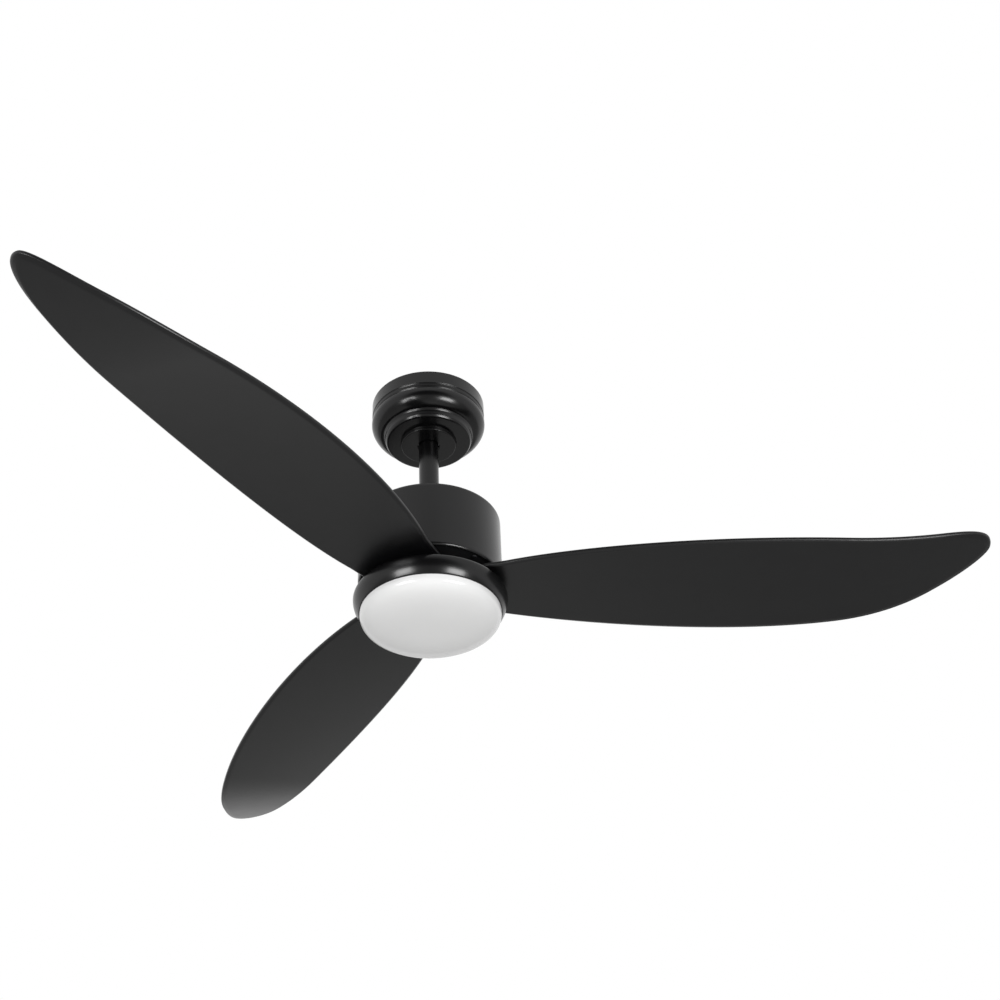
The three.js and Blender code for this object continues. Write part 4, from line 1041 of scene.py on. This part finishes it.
soldering = Rule(
    "diode_circle", Geometry="Geometry", Diode="Object", Count="Int", Radius="Float",
    Height="Float", Finish="Material",
)
_, one_diode, number, radius, height, finish = soldering.inputs
pads = soldering.node("GeometryNodeSetPosition", {}, {
    "Geometry": soldering.node(
        "GeometryNodeMeshCircle", {}, {"Vertices": number, "Radius": radius},
    ),
    "Offset": soldering.upward(height),
})
around = soldering.node("GeometryNodeInputIndex") * (2 * math.pi) / number
soldering.ends_in(soldering.node("GeometryNodeInstanceOnPoints", {}, {
    "Points": pads,
    "Instance": soldering.node("GeometryNodeObjectInfo", {}, {"Object": one_diode}, "Geometry"),
    "Rotation": soldering.about_z(around),
}), finish)
board_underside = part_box("led_board")[0].z
for k, (number, radius) in enumerate(((10, 22), (18, 38), (26, 54)), 1):
    diodes = added(f"diodes_{k}", bpy.data.meshes.new("diodes"))
    soldering.shape(
        diodes, Diode=diode, Count=number, Radius=radius * MM, Height=board_underside,
        Finish=diode_yellow,
    )
    finished(diodes, "hanging", "board", diode_yellow)
bpy.data.objects.remove(diode)


# ---------------------------------------------------------------- diffuser
# A flat-bottomed dome of opal acrylic, drawn hot and polished. Its collar snaps up over the
# ring's lip and its edge meets the ring on a hairline.

glass_radius, glass_bottom, collar_top = extent("diffuser")
glass_top = ring_bottom - seat_gap
depth = glass_top - glass_bottom
squareness = 2 / 2.8
collar = lip_radius - seat_gap
snap_bead = ring_mouth - 1.5
wall = 1.8


def dome(radius, height, steps):
    """A squared-off quarter arc from the dome's edge to its middle."""
    points = []
    for step in range(steps + 1):
        angle = step / steps * math.pi / 2
        points.append((
            radius * math.cos(angle) ** squareness if step < steps else 0,
            glass_top - height * math.sin(angle) ** squareness,
        ))
    return points


glass = turned("diffuser_dome", [
    *reversed(dome(collar - wall, depth - wall, 40)),
    (collar - wall, collar_top),
    (collar, collar_top),
    (snap_bead, ring_bottom + 4.2),
    (snap_bead, ring_bottom + 3.7),
    (collar, ring_bottom + 3.7),
    (collar, glass_top),
    *dome(glass_radius, depth, 56),
])
milk = Finish("opal")
cast = milk.noise(60, 2)
opal = milk.surface({
    "Base Color": milk.blend(cast, tint(206, 206, 206), tint(211, 211, 211)),
    "Roughness": 0.13 + 0.04 * cast,
    "Normal": milk.bump(milk.noise(30), 0.01),
})
finished(glass, "hanging", "opal", opal, "diffuser")


# ---------------------------------------------------------------- studio and camera
# The fan hangs in a white room over a pale floor, with a softbox in front of it on each side.
# The camera looks up at it from below.

scene = bpy.context.scene
scene.view_settings.view_transform = "Standard"
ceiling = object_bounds()[1].z
floor_drop = 2.4
floor_reach = 9
floor_corners = [
    (x * floor_reach, y * floor_reach, ceiling - floor_drop)
    for x, y in ((-1, -1), (1, -1), (1, 1), (-1, 1))
]
floor_mesh = bpy.data.meshes.new("floor")
floor_mesh.from_pydata(floor_corners, [], [(0, 1, 2, 3)])
floor = added("floor", floor_mesh)
screed = Finish("floor_paint")
floor_mesh.materials.append(screed.surface({
    "Base Color": screed.blend(screed.noise(400, 3), tint(226, 226, 225), tint(231, 231, 230)),
    "Roughness": 0.75 + 0.1 * screed.noise(90),
}))

# The room shows white, and a dark area in front of the fan shows only in reflections. The
# light that the room itself gives is dimmer.
room = bpy.data.worlds.new("white_room")
scene.world = room
room.use_nodes = True
room_strength = 0.57
front = (0, -0.94, -0.34)
walls = Graph(room.node_tree)
seen, mirrored, through = walls.node(
    "ShaderNodeLightPath", {}, {}, "Is Camera Ray", "Is Glossy Ray", "Is Transmission Ray",
)
showing = (seen + mirrored + through).at_most(1)
direction = walls.node("ShaderNodeTexCoord", {}, {}, "Generated")
towards_front = walls.node(
    "ShaderNodeVectorMath", {"operation": "DOT_PRODUCT"}, {0: direction, 1: front}, "Value",
)
unlit = walls.node("ShaderNodeMapRange", {"interpolation_type": "SMOOTHSTEP"}, {
    "Value": towards_front, "From Min": 0.55, "From Max": 0.85, "To Max": 0.97,
}, "Result")
dim = walls.node("ShaderNodeBackground", {}, {
    "Color": (1, 1, 1, 1), "Strength": room_strength,
})
white = walls.node("ShaderNodeBackground", {}, {
    "Color": (1, 1, 1, 1), "Strength": 1 - unlit * mirrored,
})
walls.node("ShaderNodeOutputWorld", {}, {
    "Surface": walls.node("ShaderNodeMixShader", {}, {0: showing, 1: dim, 2: white}),
})

aim = centre("motor_housing")


def softbox(name, azimuth, elevation, power, distance=2.6, width=1.05, height=0.7):
    """A soft light aimed at the motor. Azimuth 0 is in front of the fan, 90 to its right."""
    light = bpy.data.lights.new(name, "AREA")
    light.shape = "RECTANGLE"
    light.size = width
    light.size_y = height
    light.energy = power
    lamp = bpy.data.objects.new(name, light)
    scene.collection.objects.link(lamp)
    turn, lift = math.radians(azimuth), math.radians(elevation)
    away = Vector((
        math.sin(turn) * math.cos(lift), -math.cos(turn) * math.cos(lift), math.sin(lift),
    ))
    lamp.location = aim + away * distance
    lamp.rotation_euler = away.to_track_quat("Z", "Y").to_euler()
    lamp.visible_camera = False


softbox("softbox_left", azimuth=-38, elevation=-21, power=37)
softbox("softbox_right", azimuth=38, elevation=-24, power=42)

camera_data = bpy.data.cameras.new("camera")
camera_data.sensor_width = 36
camera_data.lens = 61.5
camera_data.clip_end = 50
camera = bpy.data.objects.new("camera", camera_data)
scene.collection.objects.link(camera)
scene.camera = camera
camera_out = 1.6644
camera_below = 1.4244
camera.location = (0, -camera_out, ceiling - camera_below)
yaw, pitch, roll = (math.radians(angle) for angle in (2.985, 37.418, -2.532))
ahead = Vector((
    math.sin(yaw) * math.cos(pitch), math.cos(yaw) * math.cos(pitch), math.sin(pitch),
))
level = Vector((math.cos(yaw), -math.sin(yaw), 0))
above = level.cross(ahead)
right = level * math.cos(roll) + above * math.sin(roll)
upright = above * math.cos(roll) - level * math.sin(roll)
camera.rotation_euler = Matrix((right, upright, -ahead)).transposed().to_euler()
